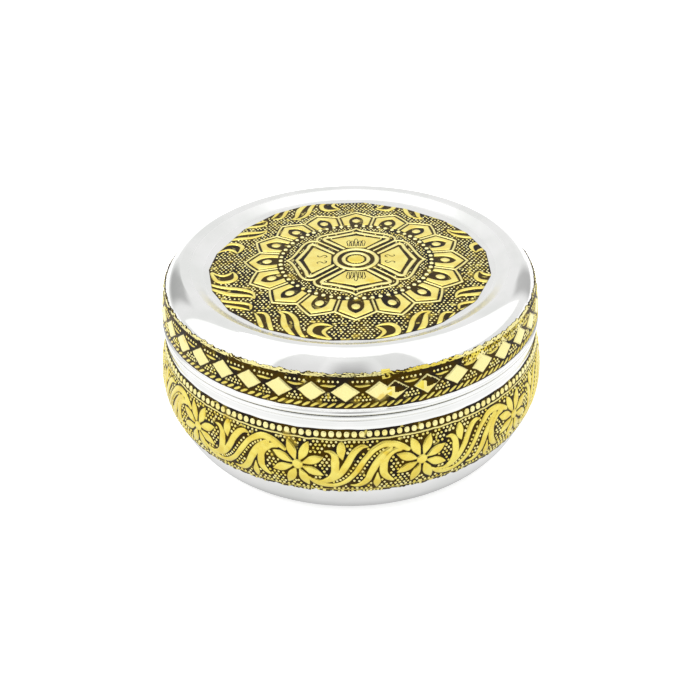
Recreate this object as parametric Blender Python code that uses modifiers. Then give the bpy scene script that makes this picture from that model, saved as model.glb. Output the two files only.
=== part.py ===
"""A round spice box: steel bowl and lid wrapped in embossed brass foil, seven cups and a spoon.

Lengths below are in millimetres and become metres when a mesh is made. +Z is up, and the
origin is the middle of the bowl's underside.
"""

import math

import bpy

MM = 0.001

# Box
SHEET = 0.9             # steel wall of the bowl and the lid
FOIL = 0.5              # room taken by a brass foil with its relief
GAP = 0.3               # space between pieces that touch
BASE_FLAT = 69.0        # radius of the flat underside
LEDGE_TOP = 59.5        # height of the ledge that carries the lid
NECK_RADIUS = 85.3      # outer radius of the neck inside the lid
NECK_TOP = 68.0
NECK_TAPER = 0.4        # how far the neck draws in towards its rim
LEDGE_DROP = 2.0        # how far below the ledge its underside meets the neck
RIM_ROUND = 0.4         # height of the neck rim's rounding
LID_PLAY = 0.5          # height of the lid's hem over the ledge
HEM_BOTTOM = LEDGE_TOP + LID_PLAY
HEM_RADIUS = 88.5

# Lid top
PANEL_RADIUS = 66.6     # flat sunken panel
PANEL_TOP = 82.6
CREST = (75.5, 86.9)    # radius and height of the lid's highest ring
SHOULDER = (86.2, 75.5)  # where the rounded shoulder meets the skirt
SHOULDER_POWER = 1.6    # exponent of the shoulder's curve, 2 being an ellipse

# Foils
BODY_BAND = (20.2, 53.0)
SKIRT_BAND = (63.2, 79.6)
PANEL_FOIL_RADIUS = 65.9

# Cups and spoon
CUP_COUNT = 6           # cups around the middle one
CUP_PITCH = 55.6        # distance between the axes of neighbouring cups
CUP_SHEET = 0.8
CUP_HEIGHT = 42.0
CUP_FLOOR = 1.5         # height of the cups' undersides
CUP_RIM = 26.6          # radius of the middle of the rim's bead
CUP_BEAD = 0.7          # the bead's half-width
CUP_BEAD_DROP = 1.3     # how far below the rim the bead ends
SPOON_BOWL = 9.0
SPOON_DEPTH = 3.6
SPOON_SHEET = 0.8
SPOON_LENGTH = 84.0
SPOON_CURVE = 0.92      # radius of the dish's rim over the radius of its sphere
SPOON_STEPS = 5         # parts of the dish's section
HANDLE_WIDTH = 4.6
HANDLE_SHEET = 1.2
HANDLE_DROP = 0.9       # how far below the dish's rim the handle's middle lies
SPOON_TILT = 1.3        # degrees, so that the dish and the handle's end both rest on rims
SPOON_HEADING = 24.0    # degrees about the vertical
SPOON_PLACE = (-30.0, -9.0, CUP_FLOOR + CUP_HEIGHT + GAP + 0.1)

SHELL_STEPS = 48
CUP_STEPS = 20
SHOULDER_STEPS = 6

# Bowl outside: the bead and groove under the ledge, then the belly: (radius, height)
BOWL_BEAD = (
    (87.3, LEDGE_TOP),
    (88.0, 58.9),
    (88.0, 57.7),
    (87.7, 57.3),
    (87.9, 56.8),
)
BOWL_BELLY = (
    (87.5, 53.0),
    (88.5, 47.5),
    (89.9, 41.0),
    (90.7, 33.5),
    (90.3, 27.0),
    (88.6, 20.8),
    (86.6, 15.3),
    (84.5, 10.8),
    (82.2, 7.2),
    (79.9, 4.5),
    (76.9, 2.3),
    (73.2, 0.7),
    (BASE_FLAT, 0.0),
)
BOWL_WALL = BOWL_BEAD + BOWL_BELLY

# Lid outside: the cove round the sunken panel, and the skirt below the shoulder
LID_COVE = (
    (PANEL_RADIUS, PANEL_TOP),
    (68.6, 83.6),
    (71.4, 85.6),
)
LID_SKIRT = (
    (86.8, 71.0),
    (87.6, 65.5),
    (87.7, 62.4),
)

# The hem's rolled edge: steps out from HEM_RADIUS and up from HEM_BOTTOM
HEM_ROLL = (
    (-0.2, 1.9),
    (0.0, 1.1),
    (-0.2, 0.3),
    (-0.8, 0.0),
    (-1.9, 0.3),
)

# Cup outside, from under its rim bead to its underside: (radius, height above the underside)
CUP_WALL = (
    (26.5, 40.3),
    (26.2, 25.0),
    (25.4, 12.0),
    (23.6, 6.0),
    (21.0, 3.0),
    (18.0, 1.0),
    (15.0, 0.0),
)

STEEL = ("steel", (0.80, 0.80, 0.79), 1.0, 0.12)
BRASS = ("brass_foil", (0.78, 0.62, 0.22), 1.0, 0.30)


def clear_scene():
    for item in list(bpy.data.objects):
        bpy.data.objects.remove(item)


def new_collection(name):
    collection = bpy.data.collections.new(name)
    bpy.context.scene.collection.children.link(collection)
    return collection


def material(spec):
    name, colour, metallic, roughness = spec
    made = bpy.data.materials.get(name)
    if made is None:
        made = bpy.data.materials.new(name)
        made.use_nodes = True
        shader = made.node_tree.nodes["Principled BSDF"]
        shader.inputs["Base Color"].default_value = (*colour, 1.0)
        shader.inputs["Metallic"].default_value = metallic
        shader.inputs["Roughness"].default_value = roughness
    return made


def move_to(collection, item):
    """Puts an object in one collection and takes it out of any other."""
    for other in list(item.users_collection):
        other.objects.unlink(item)
    collection.objects.link(item)


def turned(name, section, finish, collection, closed=False, steps=SHELL_STEPS):
    """A solid of revolution from a section of (radius, height) points that runs down its outside."""
    points = [(radius * MM, 0.0, height * MM) for radius, height in section]
    edges = [(i, i + 1) for i in range(len(points) - 1)]
    if closed:
        edges.append((len(points) - 1, 0))
    mesh = bpy.data.meshes.new(name)
    mesh.from_pydata(points, edges, [])
    mesh.materials.append(material(finish))
    made = bpy.data.objects.new(name, mesh)
    collection.objects.link(made)
    screw = made.modifiers.new("turn", "SCREW")
    screw.axis = "Z"
    screw.steps = steps
    screw.render_steps = steps
    screw.use_merge_vertices = True
    screw.merge_threshold = 0.0001
    screw.use_smooth_shade = True
    return made


def inside(wall, thickness):
    """The wall moved inwards by its thickness, square to the line between each point's neighbours."""
    moved = []
    for i, (radius, height) in enumerate(wall):
        before = wall[max(i - 1, 0)]
        after = wall[min(i + 1, len(wall) - 1)]
        run = after[0] - before[0]
        drop = after[1] - before[1]
        length = math.hypot(run, drop)
        moved.append((radius + thickness * drop / length, height - thickness * run / length))
    return moved


def radius_at(wall, height):
    """The wall's radius at a height, for a wall whose points run downwards."""
    for upper, lower in zip(wall, wall[1:]):
        if lower[1] <= height <= upper[1]:
            share = (height - lower[1]) / (upper[1] - lower[1])
            return lower[0] + share * (upper[0] - lower[0])
    raise ValueError(height)


def band_section(wall, span):
    """A foil around a wall: down its outer face and back up its inner one."""
    low, high = span
    heights = [high] + [point[1] for point in wall if low < point[1] < high] + [low]
    outer = [(radius_at(wall, z) + GAP + FOIL, z) for z in heights]
    inner = [(radius_at(wall, z) + GAP, z) for z in reversed(heights)]
    return outer + inner


def bowl_section():
    """Inner floor, inner wall and neck, rim, neck outside, ledge, wall and underside."""
    inner_wall = [(radius, max(height, SHEET)) for radius, height in inside(BOWL_BELLY, SHEET)]
    under_ledge = (NECK_RADIUS - SHEET, LEDGE_TOP - LEDGE_DROP)
    rim_outside = NECK_RADIUS - NECK_TAPER
    neck_inner = (rim_outside - SHEET, NECK_TOP - RIM_ROUND)
    neck_outer = (rim_outside, NECK_TOP - RIM_ROUND)
    rim = (rim_outside - SHEET / 2, NECK_TOP)
    rising = [(0.0, SHEET)] + inner_wall[::-1] + [under_ledge, neck_inner, rim]
    return rising + [neck_outer, (NECK_RADIUS, LEDGE_TOP)] + list(BOWL_WALL) + [(0.0, 0.0)]


def shoulder():
    """Points of the lid's shoulder from crest to skirt, on a curve of exponent SHOULDER_POWER."""
    reach = SHOULDER[0] - CREST[0]
    drop = CREST[1] - SHOULDER[1]
    points = []
    for step in range(SHOULDER_STEPS + 1):
        angle = math.radians(90.0 * step / SHOULDER_STEPS)
        out = max(math.sin(angle), 0.0) ** (2 / SHOULDER_POWER)
        down = 1.0 - max(math.cos(angle), 0.0) ** (2 / SHOULDER_POWER)
        points.append((CREST[0] + reach * out, CREST[1] - drop * down))
    return points


def lid_side():
    """The lid's outside, from its crest to just above the hem."""
    return shoulder() + list(LID_SKIRT)


def lid_section():
    """Panel, cove, crest, shoulder and skirt outside, the hem, then back along the inside."""
    wall = list(LID_COVE) + lid_side()
    hem = [(HEM_RADIUS + out, HEM_BOTTOM + up) for out, up in HEM_ROLL]
    inner = inside(wall, SHEET)
    inner[0] = (PANEL_RADIUS + GAP, PANEL_TOP - SHEET)
    return [(0.0, PANEL_TOP)] + wall + hem + inner[::-1] + [(0.0, PANEL_TOP - SHEET)]


def cup_section():
    """Inner floor, inner wall, the rim's bead, outer wall and underside of one cup."""
    inner = [(radius, max(height, CUP_SHEET)) for radius, height in inside(CUP_WALL, CUP_SHEET)]
    shoulder_height = CUP_HEIGHT - 0.6
    bead = [
        (CUP_RIM - CUP_BEAD, shoulder_height),
        (CUP_RIM, CUP_HEIGHT),
        (CUP_RIM + CUP_BEAD, shoulder_height),
        (CUP_RIM + CUP_BEAD - 0.1, CUP_HEIGHT - CUP_BEAD_DROP),
    ]
    return [(0.0, CUP_SHEET)] + inner[::-1] + bead + list(CUP_WALL) + [(0.0, 0.0)]


def spoon_bowl_section():
    """A shallow round dish, inside first: each face is part of a sphere through its rim."""
    inner = []
    outer = []
    for step in range(SPOON_STEPS + 1):
        reach = step / SPOON_STEPS
        rise = 1.0 - math.sqrt(1.0 - (SPOON_CURVE * reach) ** 2)
        rise /= 1.0 - math.sqrt(1.0 - SPOON_CURVE ** 2)
        inner.append(((SPOON_BOWL - SPOON_SHEET) * reach, SPOON_SHEET + (SPOON_DEPTH - SPOON_SHEET) * rise))
        outer.append((SPOON_BOWL * reach, SPOON_DEPTH * rise))
    return inner + outer[::-1]


def make_shells(collection):
    turned("bowl", bowl_section(), STEEL, collection)
    turned("body_band", band_section(BOWL_WALL, BODY_BAND), BRASS, collection, closed=True)
    turned("lid", lid_section(), STEEL, collection)
    turned("lid_skirt_band", band_section(lid_side(), SKIRT_BAND), BRASS, collection, closed=True)


def make_panel_foil(collection):
    """The brass disc that lies in the lid's sunken panel."""
    bpy.ops.mesh.primitive_cylinder_add(
        vertices=SHELL_STEPS,
        radius=PANEL_FOIL_RADIUS * MM,
        depth=FOIL * MM,
        location=(0.0, 0.0, (PANEL_TOP + GAP + FOIL / 2) * MM),
    )
    foil = bpy.context.object
    foil.name = "lid_top_panel"
    foil.data.materials.append(material(BRASS))
    move_to(collection, foil)


def make_cups(collection):
    """One cup in the middle and a ring of six around it, all turned from one section."""
    middle = turned("cup_middle", cup_section(), STEEL, collection, steps=CUP_STEPS)
    middle.location = (0.0, 0.0, CUP_FLOOR * MM)
    for number in range(CUP_COUNT):
        angle = 2 * math.pi * number / CUP_COUNT
        cup = middle.copy()
        cup.name = f"cup_{number + 1}"
        cup.location = (
            CUP_PITCH * MM * math.cos(angle),
            CUP_PITCH * MM * math.sin(angle),
            CUP_FLOOR * MM,
        )
        collection.objects.link(cup)


def make_spoon(collection, helpers):
    """A round dish with a flat handle, lying across the rims of the cups."""
    spoon = turned("spoon", spoon_bowl_section(), STEEL, collection, steps=CUP_STEPS)
    start = SPOON_BOWL - SPOON_SHEET
    bpy.ops.mesh.primitive_cube_add(
        size=1.0,
        location=((start + SPOON_LENGTH) / 2 * MM, 0.0, (SPOON_DEPTH - HANDLE_DROP) * MM),
        scale=((SPOON_LENGTH - start) * MM, HANDLE_WIDTH * MM, HANDLE_SHEET * MM),
    )
    handle = bpy.context.object
    handle.name = "spoon_handle"
    bpy.ops.object.transform_apply(location=False, rotation=False, scale=True)
    move_to(helpers, handle)
    handle.hide_render = True
    handle.display_type = "WIRE"
    handle.parent = spoon
    union = spoon.modifiers.new("handle", "BOOLEAN")
    union.operation = "UNION"
    union.solver = "EXACT"
    union.object = handle
    spoon.rotation_euler = (0.0, math.radians(SPOON_TILT), math.radians(SPOON_HEADING))
    spoon.location = [place * MM for place in SPOON_PLACE]


def main():
    clear_scene()
    box = new_collection("spice_box")
    helpers = new_collection("spice_box_helpers")
    make_shells(box)
    make_panel_foil(box)
    make_cups(box)
    make_spoon(box, helpers)


main()
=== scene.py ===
"""The looks of a round spice box: polished steel, and brass foil embossed by hand.

Lengths are in millimetres and become metres when a mesh is made. +Z is up and the origin is
the middle of the bowl's underside. Azimuths are in degrees from +X, so -90 is the front.
"""

import logging
import math
from dataclasses import dataclass, field
from enum import Enum
from functools import cached_property
from typing import Iterable, Sequence

import bpy
import numpy as np
from mathutils import Matrix, Vector


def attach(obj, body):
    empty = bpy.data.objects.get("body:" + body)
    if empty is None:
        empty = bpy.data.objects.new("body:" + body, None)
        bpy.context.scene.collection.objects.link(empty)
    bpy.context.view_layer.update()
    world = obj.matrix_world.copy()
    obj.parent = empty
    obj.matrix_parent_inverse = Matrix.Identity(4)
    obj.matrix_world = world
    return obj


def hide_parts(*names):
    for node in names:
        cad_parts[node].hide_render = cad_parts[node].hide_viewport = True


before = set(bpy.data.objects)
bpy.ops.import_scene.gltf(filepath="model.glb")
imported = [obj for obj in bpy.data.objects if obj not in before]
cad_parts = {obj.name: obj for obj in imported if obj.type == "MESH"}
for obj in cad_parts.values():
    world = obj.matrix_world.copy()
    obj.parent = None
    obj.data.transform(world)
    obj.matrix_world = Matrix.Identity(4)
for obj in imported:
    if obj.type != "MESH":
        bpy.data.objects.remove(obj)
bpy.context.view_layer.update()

MM = 0.001
FAR = -1.6          # a pattern's field stops falling at this many millimetres outside a motif
Array = np.ndarray
log = logging.getLogger("spice_box")


class Body(Enum):
    """The rigid bodies that pieces ride on."""

    BOX = "box"
    LID = "lid"
    CUP_MIDDLE = "cup_middle"
    CUP_1 = "cup_1"
    CUP_2 = "cup_2"
    CUP_3 = "cup_3"
    CUP_4 = "cup_4"
    CUP_5 = "cup_5"
    CUP_6 = "cup_6"
    SPOON = "spoon"


class Slot(Enum):
    """The record's material slots."""

    STEEL = "steel"
    CUP_STEEL = "cup_steel"
    BRASS = "brass_foil"


# ---------------------------------------------------------------- numbers over a surface


def ramp(value: Array, low: float, high: float) -> Array:
    """Smooth step from 0 at low to 1 at high: 3t squared minus 2t cubed.

    Args:
        value: Numbers to map.
        low: Value that becomes 0.
        high: Value that becomes 1; it may be below low.

    Returns:
        Numbers from 0 to 1.
    """
    t = np.clip((value - low) / (high - low), 0.0, 1.0)
    return t * t * (3.0 - 2.0 * t)


def wander(x: Array, y: Array, size: float, seed: int) -> Array:
    """Gentle unevenness: a sum of nine sine waves of random heading, each about size long.

    Args:
        x: First coordinate in millimetres.
        y: Second coordinate in millimetres.
        size: Typical length of a wave in millimetres.
        seed: Seed of the headings and phases.

    Returns:
        Numbers of about -1 to 1.
    """
    random = np.random.default_rng(seed)
    total = np.zeros(np.broadcast(x, y).shape)
    for heading, stretch, phase in random.random((9, 3)):
        turn = 2 * math.pi * heading
        wave = 2 * math.pi / (size * (0.6 + 0.9 * stretch))
        total += np.sin(wave * (x * math.cos(turn) + y * math.sin(turn)) + 2 * math.pi * phase)
    return total / 4.0


def smooth_path(points: Sequence[Sequence[float]], steps: int = 5) -> Array:
    """Catmull-Rom curve through the points, each span a cubic of its four nearest points.

    Args:
        points: Rows of numbers, such as place and half-width.
        steps: Parts that each span is cut into.

    Returns:
        Dense rows from the first point to the last.
    """
    rows = np.array(points, float)
    held = np.vstack([2 * rows[0] - rows[1], rows, 2 * rows[-1] - rows[-2]])
    a, b, c, d = held[:-3], held[1:-2], held[2:-1], held[3:]
    t = np.linspace(0.0, 1.0, steps, endpoint=False)[:, None, None]
    cubic = 2 * b + (c - a) * t + (2 * a - 5 * b + 4 * c - d) * t**2 + (3 * b - a - 3 * c + d) * t**3
    dense = (0.5 * cubic).transpose(1, 0, 2).reshape(-1, rows.shape[1])
    return np.vstack([dense, rows[-1]])


def stroke_field(x: Array, y: Array, path: Array) -> Array:
    """How far inside a stroke each point lies: the half-width where it is nearest, less the distance.

    Args:
        x: First coordinate.
        y: Second coordinate.
        path: Rows of place, place and half-width along the stroke.

    Returns:
        Millimetres, positive inside, and FAR well outside.
    """
    field_ = np.full(x.shape, FAR)
    reach = path[:, 2].max() - FAR
    near = (x > path[:, 0].min() - reach) & (x < path[:, 0].max() + reach)
    near &= (y > path[:, 1].min() - reach) & (y < path[:, 1].max() + reach)
    px, py = x[near], y[near]
    best = np.full(px.shape, FAR)
    for (ax, ay, aw), (bx, by, bw) in zip(path, path[1:]):
        dx, dy = bx - ax, by - ay
        t = np.clip(((px - ax) * dx + (py - ay) * dy) / (dx * dx + dy * dy + 1e-12), 0.0, 1.0)
        best = np.maximum(best, aw + (bw - aw) * t - np.hypot(px - ax - t * dx, py - ay - t * dy))
    field_[near] = best
    return field_


def strokes_field(x: Array, y: Array, strokes: Iterable[Array]) -> Array:
    """The greatest of several strokes' fields."""
    total = np.full(x.shape, FAR)
    for path in strokes:
        total = np.maximum(total, stroke_field(x, y, path))
    return total


def polygon_field(x: Array, y: Array, corners: Sequence[Sequence[float]]) -> Array:
    """Distance to a convex polygon's nearest side, positive inside.

    Args:
        x: First coordinate.
        y: Second coordinate.
        corners: The polygon's corners, anticlockwise.

    Returns:
        Millimetres; outside, the distance past the side that is furthest off.
    """
    depth = np.full(np.broadcast(x, y).shape, 1e9)
    for (ax, ay), (bx, by) in zip(corners, [*corners[1:], corners[0]]):
        length = math.hypot(bx - ax, by - ay)
        depth = np.minimum(depth, ((bx - ax) * (y - ay) - (by - ay) * (x - ax)) / length)
    return depth


def honeycomb(across: float, up: float, x_range: tuple[float, float], y_range: tuple[float, float],
              jitter: float, random: np.random.Generator) -> tuple[Array, Array]:
    """A jittered honeycomb of places: every second row is shifted by half a step.

    Args:
        across: Step along a row.
        up: Step from row to row.
        x_range: Where the rows start and stop.
        y_range: Where the first row lies, and where they stop.
        jitter: Greatest move of a place along either axis.
        random: Source of the jitter.

    Returns:
        First and second coordinate of each place.
    """
    y, x = np.meshgrid(np.arange(*y_range, up), np.arange(*x_range, across), indexing="ij")
    x = x + (np.arange(len(y)) % 2)[:, None] * across / 2
    x, y = (a.ravel() + random.uniform(-jitter, jitter, a.size) for a in (x, y))
    return x, y


def columns_of(*parts: Array | float) -> Array:
    """Rows whose columns are these numbers, each stretched to the longest."""
    return np.stack(np.broadcast_arrays(*parts), -1)


# ---------------------------------------------------------------- meshes


def add_trait(mesh: bpy.types.Mesh, name: str, values: Array) -> None:
    """Stores a named number at each of a mesh's points."""
    mesh.attributes.new(name, "FLOAT", "POINT").data.foreach_set("value", values.astype(np.float32).ravel())


def show(name: str, data: bpy.types.ID) -> bpy.types.Object:
    """Puts a new object with this mesh, lamp or camera in the scene."""
    made = bpy.data.objects.new(name, data)
    bpy.context.scene.collection.objects.link(made)
    return made


def grid_faces(rows: int, columns: int, wrap_rows: bool, wrap_columns: bool) -> Array:
    """Quads between neighbouring rows and columns of a grid whose points are numbered row by row."""
    r = np.arange(rows if wrap_rows else rows - 1)[:, None]
    c = np.arange(columns if wrap_columns else columns - 1)[None, :]
    down, along = (r + 1) % rows, (c + 1) % columns
    corners = (r * columns + c, r * columns + along, down * columns + along, down * columns + c)
    return np.stack([np.broadcast_to(k, (r.size, c.size)) for k in corners], -1).reshape(-1, 4)


def signed_volume(points: Array, faces: Sequence[Array]) -> float:
    """Six times a closed surface's volume, positive if its faces turn outwards."""
    total = 0.0
    for block in faces:
        first = points[block[:, 0]]
        for k in range(1, block.shape[1] - 1):
            normals = np.cross(points[block[:, k]], points[block[:, k + 1]])
            total += float(np.einsum("ij,ij->", first, normals))
    return total


def new_object(name: str, points: Array, faces: Sequence[Array],
               traits: dict[str, Array]) -> bpy.types.Object:
    """Makes a smooth closed mesh object whose faces turn outwards.

    Args:
        name: The object's name.
        points: Places in millimetres, one row each.
        faces: Blocks of faces, one row of point numbers each.
        traits: Named numbers, one for each point.

    Returns:
        The new object, at the origin.
    """
    centre = points.mean(0)
    if signed_volume(points - centre, faces) < 0:
        faces = [block[:, ::-1] for block in faces]
    corners = np.concatenate([block.ravel() for block in faces])
    sizes = np.concatenate([np.full(len(block), block.shape[1]) for block in faces])
    mesh = bpy.data.meshes.new(name)
    mesh.vertices.add(len(points))
    mesh.vertices.foreach_set("co", (points * MM).astype(np.float32).ravel())
    mesh.loops.add(len(corners))
    mesh.loops.foreach_set("vertex_index", corners.astype(np.int32))
    mesh.polygons.add(len(sizes))
    mesh.polygons.foreach_set("loop_start", np.concatenate([[0], np.cumsum(sizes)[:-1]]).astype(np.int32))
    mesh.update(calc_edges=True)
    for trait, values in traits.items():
        add_trait(mesh, trait, values)
    mesh.validate()
    mesh.shade_smooth()
    return show(name, mesh)


@dataclass
class Lattice:
    """A closed solid from a grid of points.

    Attributes:
        points: Places, by row, column and axis.
        wrap_rows: Whether the last row joins the first.
        wrap_columns: Whether the last column joins the first.
        traits: Named numbers by row and column.
    """

    points: Array
    wrap_rows: bool = False
    wrap_columns: bool = False
    traits: dict[str, Array] = field(default_factory=dict)

    def faces(self) -> list[Array]:
        """Quads of the grid, and one flat face over each open end."""
        rows, columns = self.points.shape[:2]
        blocks = [grid_faces(rows, columns, self.wrap_rows, self.wrap_columns)]
        number = np.arange(rows * columns).reshape(rows, columns)
        if not self.wrap_rows:
            blocks += [number[:1, ::-1], number[-1:, :]]
        if not self.wrap_columns:
            blocks += [number[:, :1].T, number[::-1, -1:].T]
        return blocks

    def build(self, name: str, sharp: float | None = None) -> bpy.types.Object:
        """Makes the object.

        Args:
            name: The object's name.
            sharp: Angle in degrees past which an edge is sharp, or None.

        Returns:
            The new object.
        """
        flat = {k: v.reshape(-1) for k, v in self.traits.items()}
        made = new_object(name, self.points.reshape(-1, 3), self.faces(), flat)
        if sharp is not None:
            made.data.set_sharp_from_angle(angle=math.radians(sharp))
        return made


def around(radius: Array, azimuth: Array, height: Array) -> Array:
    """Places from cylinder coordinates: radius times cosine and sine of the azimuth, and height."""
    turn = np.radians(azimuth)
    return columns_of(radius * np.cos(turn), radius * np.sin(turn), height)


def turned(name: str, section: Array, columns: int = 256, closed: bool = False) -> bpy.types.Object:
    """A solid of revolution from a section of (radius, height) points.

    Args:
        name: The object's name.
        section: The section; open ones start and end on the axis.
        columns: Parts that the turn is cut into.
        closed: Whether the section closes on itself.

    Returns:
        The new object.
    """
    azimuth = np.arange(columns) * 360.0 / columns
    rings = around(np.maximum(section[:, :1], 0.25), azimuth[None, :], section[:, 1:])
    return Lattice(rings, wrap_rows=closed, wrap_columns=True).build(name, 50.0)


@dataclass(frozen=True)
class DomeShape:
    """A small raised dot, from rings of share of radius and share of height.

    Attributes:
        sides: Sides of each ring.
        rings: Share of the radius and of the height of each ring, from the foot upwards.
        top: Share of the height in the middle.
        corner: Exponent of the outline, 2 being round and more being squarer.
    """

    sides: int = 8
    rings: tuple[tuple[float, float], ...] = ((1.0, -0.3), (0.93, 0.4), (0.6, 0.88))
    top: float = 1.0
    corner: float = 2.0

    def spread(self, name: str, centres: Array, out: Array, along: Array, size: Array,
               traits: dict[str, Array]) -> bpy.types.Object:
        """Copies the dot to many places as one object of separate closed domes.

        Args:
            name: The object's name.
            centres: Places on the ground, one row each.
            out: Unit directions that the dots rise in.
            along: Unit directions of the dots' first axis.
            size: Half-width along, half-width across and height of each dot.
            traits: Named numbers, one for each dot.

        Returns:
            The new object.
        """
        turn = np.arange(self.sides) * 2 * math.pi / self.sides
        cos, sin = np.cos(turn), np.sin(turn)
        bulge = (np.abs(cos) ** self.corner + np.abs(sin) ** self.corner) ** (-1 / self.corner)
        local = [columns_of(share * bulge * cos, share * bulge * sin, rise) for share, rise in self.rings]
        unit = np.vstack([*local, [[0.0, 0.0, self.top]]])
        across = np.cross(out, along)
        axes = np.stack([along, across, out], 1) * size[:, :, None]
        points = centres[:, None, :] + np.einsum("pk,nkx->npx", unit, axes)
        start = (np.arange(len(centres)) * len(unit))[:, None, None]
        quads = grid_faces(len(self.rings), self.sides, False, True)
        last = (len(self.rings) - 1) * self.sides
        side = np.arange(self.sides)
        fan = columns_of(last + side, last + (side + 1) % self.sides, len(unit) - 1)
        blocks = [(start + block).reshape(-1, block.shape[-1]) for block in (quads, fan, side[None, ::-1])]
        spread_traits = {k: np.repeat(v, len(unit)) for k, v in traits.items()}
        return new_object(name, points.reshape(-1, 3), blocks, spread_traits)


# ---------------------------------------------------------------- shader maths


class Wire:
    """A node's output that can be used in arithmetic."""

    def __init__(self, board: "Board", socket: bpy.types.NodeSocket) -> None:
        """Keeps the output and the board that new nodes go on."""
        self.board = board
        self.socket = socket

    def math(self, operation: str, *others: "Wire | float") -> "Wire":
        """A Math node of this and other values."""
        return self.board.node("ShaderNodeMath", {"operation": operation}, dict(enumerate((self, *others))))

    def __add__(self, other: "Wire | float") -> "Wire":
        """This plus other."""
        return self.math("ADD", other)

    __radd__ = __add__

    def __mul__(self, other: "Wire | float") -> "Wire":
        """This times other."""
        return self.math("MULTIPLY", other)

    __rmul__ = __mul__

    def __sub__(self, other: "Wire | float") -> "Wire":
        """This less other."""
        return self.math("SUBTRACT", other)

    def __rsub__(self, other: float) -> "Wire":
        """Other less this."""
        return self.math("MULTIPLY_ADD", -1.0, other)

    def at_least(self, other: "Wire | float") -> "Wire":
        """The greater of this and other."""
        return self.math("MAXIMUM", other)

    def step(self, low: float, high: float) -> "Wire":
        """Smooth step of this from 0 at low to 1 at high."""
        inputs = {"Value": self, "From Min": low, "From Max": high, "To Min": 0.0, "To Max": 1.0}
        return self.board.node("ShaderNodeMapRange", {"interpolation_type": "SMOOTHSTEP"}, inputs)


class Board:
    """A material's node tree and the few ways that nodes are put on it."""

    def __init__(self, name: str) -> None:
        """Makes the material and empties its tree."""
        self.material = bpy.data.materials.new(name)
        self.material.use_nodes = True
        self.tree = self.material.node_tree
        self.tree.nodes.clear()

    def node(self, kind: str, settings: dict, inputs: dict, output: int | str = 0) -> Wire | None:
        """Adds a node.

        Args:
            kind: The node's type.
            settings: Its properties, which are set first.
            inputs: Values or wires by the socket's name or number.
            output: The output wanted.

        Returns:
            That output, or None if the node has none.
        """
        made = self.tree.nodes.new(kind)
        for key, value in settings.items():
            setattr(made, key, value)
        for key, value in inputs.items():
            if isinstance(value, Wire):
                self.tree.links.new(value.socket, made.inputs[key])
            else:
                made.inputs[key].default_value = value
        return Wire(self, made.outputs[output]) if len(made.outputs) else None

    def place(self) -> Wire:
        """Object coordinates, in metres."""
        return self.node("ShaderNodeTexCoord", {}, {}, "Object")

    def noise(self, size: float, detail: float = 2.0, place: Wire | None = None) -> Wire:
        """Noise of about 0 to 1 whose grain is size millimetres."""
        inputs = {"Vector": place or self.place(), "Scale": 1.0 / (size * MM), "Detail": detail}
        return self.node("ShaderNodeTexNoise", {}, inputs)

    def trait(self, name: str) -> Wire:
        """A number that the mesh carries at each point."""
        return self.node("ShaderNodeAttribute", {"attribute_name": name}, {}, "Fac")

    def blend(self, share: Wire | float, first: "Wire | tuple", second: "Wire | tuple") -> Wire:
        """A colour between two colours."""
        inputs = {"Factor": share, 6: first, 7: second}
        return self.node("ShaderNodeMix", {"data_type": "RGBA"}, inputs, 2)

    def bump(self, height: Wire, depth: float) -> Wire:
        """A normal bent by a height of 0 to 1 that stands for depth millimetres."""
        return self.node("ShaderNodeBump", {}, {"Height": height, "Distance": depth * MM, "Strength": 1.0})

    def surface(self, inputs: dict) -> bpy.types.Material:
        """Ends the tree in a Principled BSDF with these inputs."""
        shader = self.node("ShaderNodeBsdfPrincipled", {}, inputs)
        self.node("ShaderNodeOutputMaterial", {}, {"Surface": shader})
        return self.material


def paint(red: int, green: int, blue: int) -> tuple[float, float, float, float]:
    """A linear colour from screen values of 0 to 255."""
    parts = [c / 255 for c in (red, green, blue)]
    return (*[p / 12.92 if p <= 0.04045 else ((p + 0.055) / 1.055) ** 2.4 for p in parts], 1.0)


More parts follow.
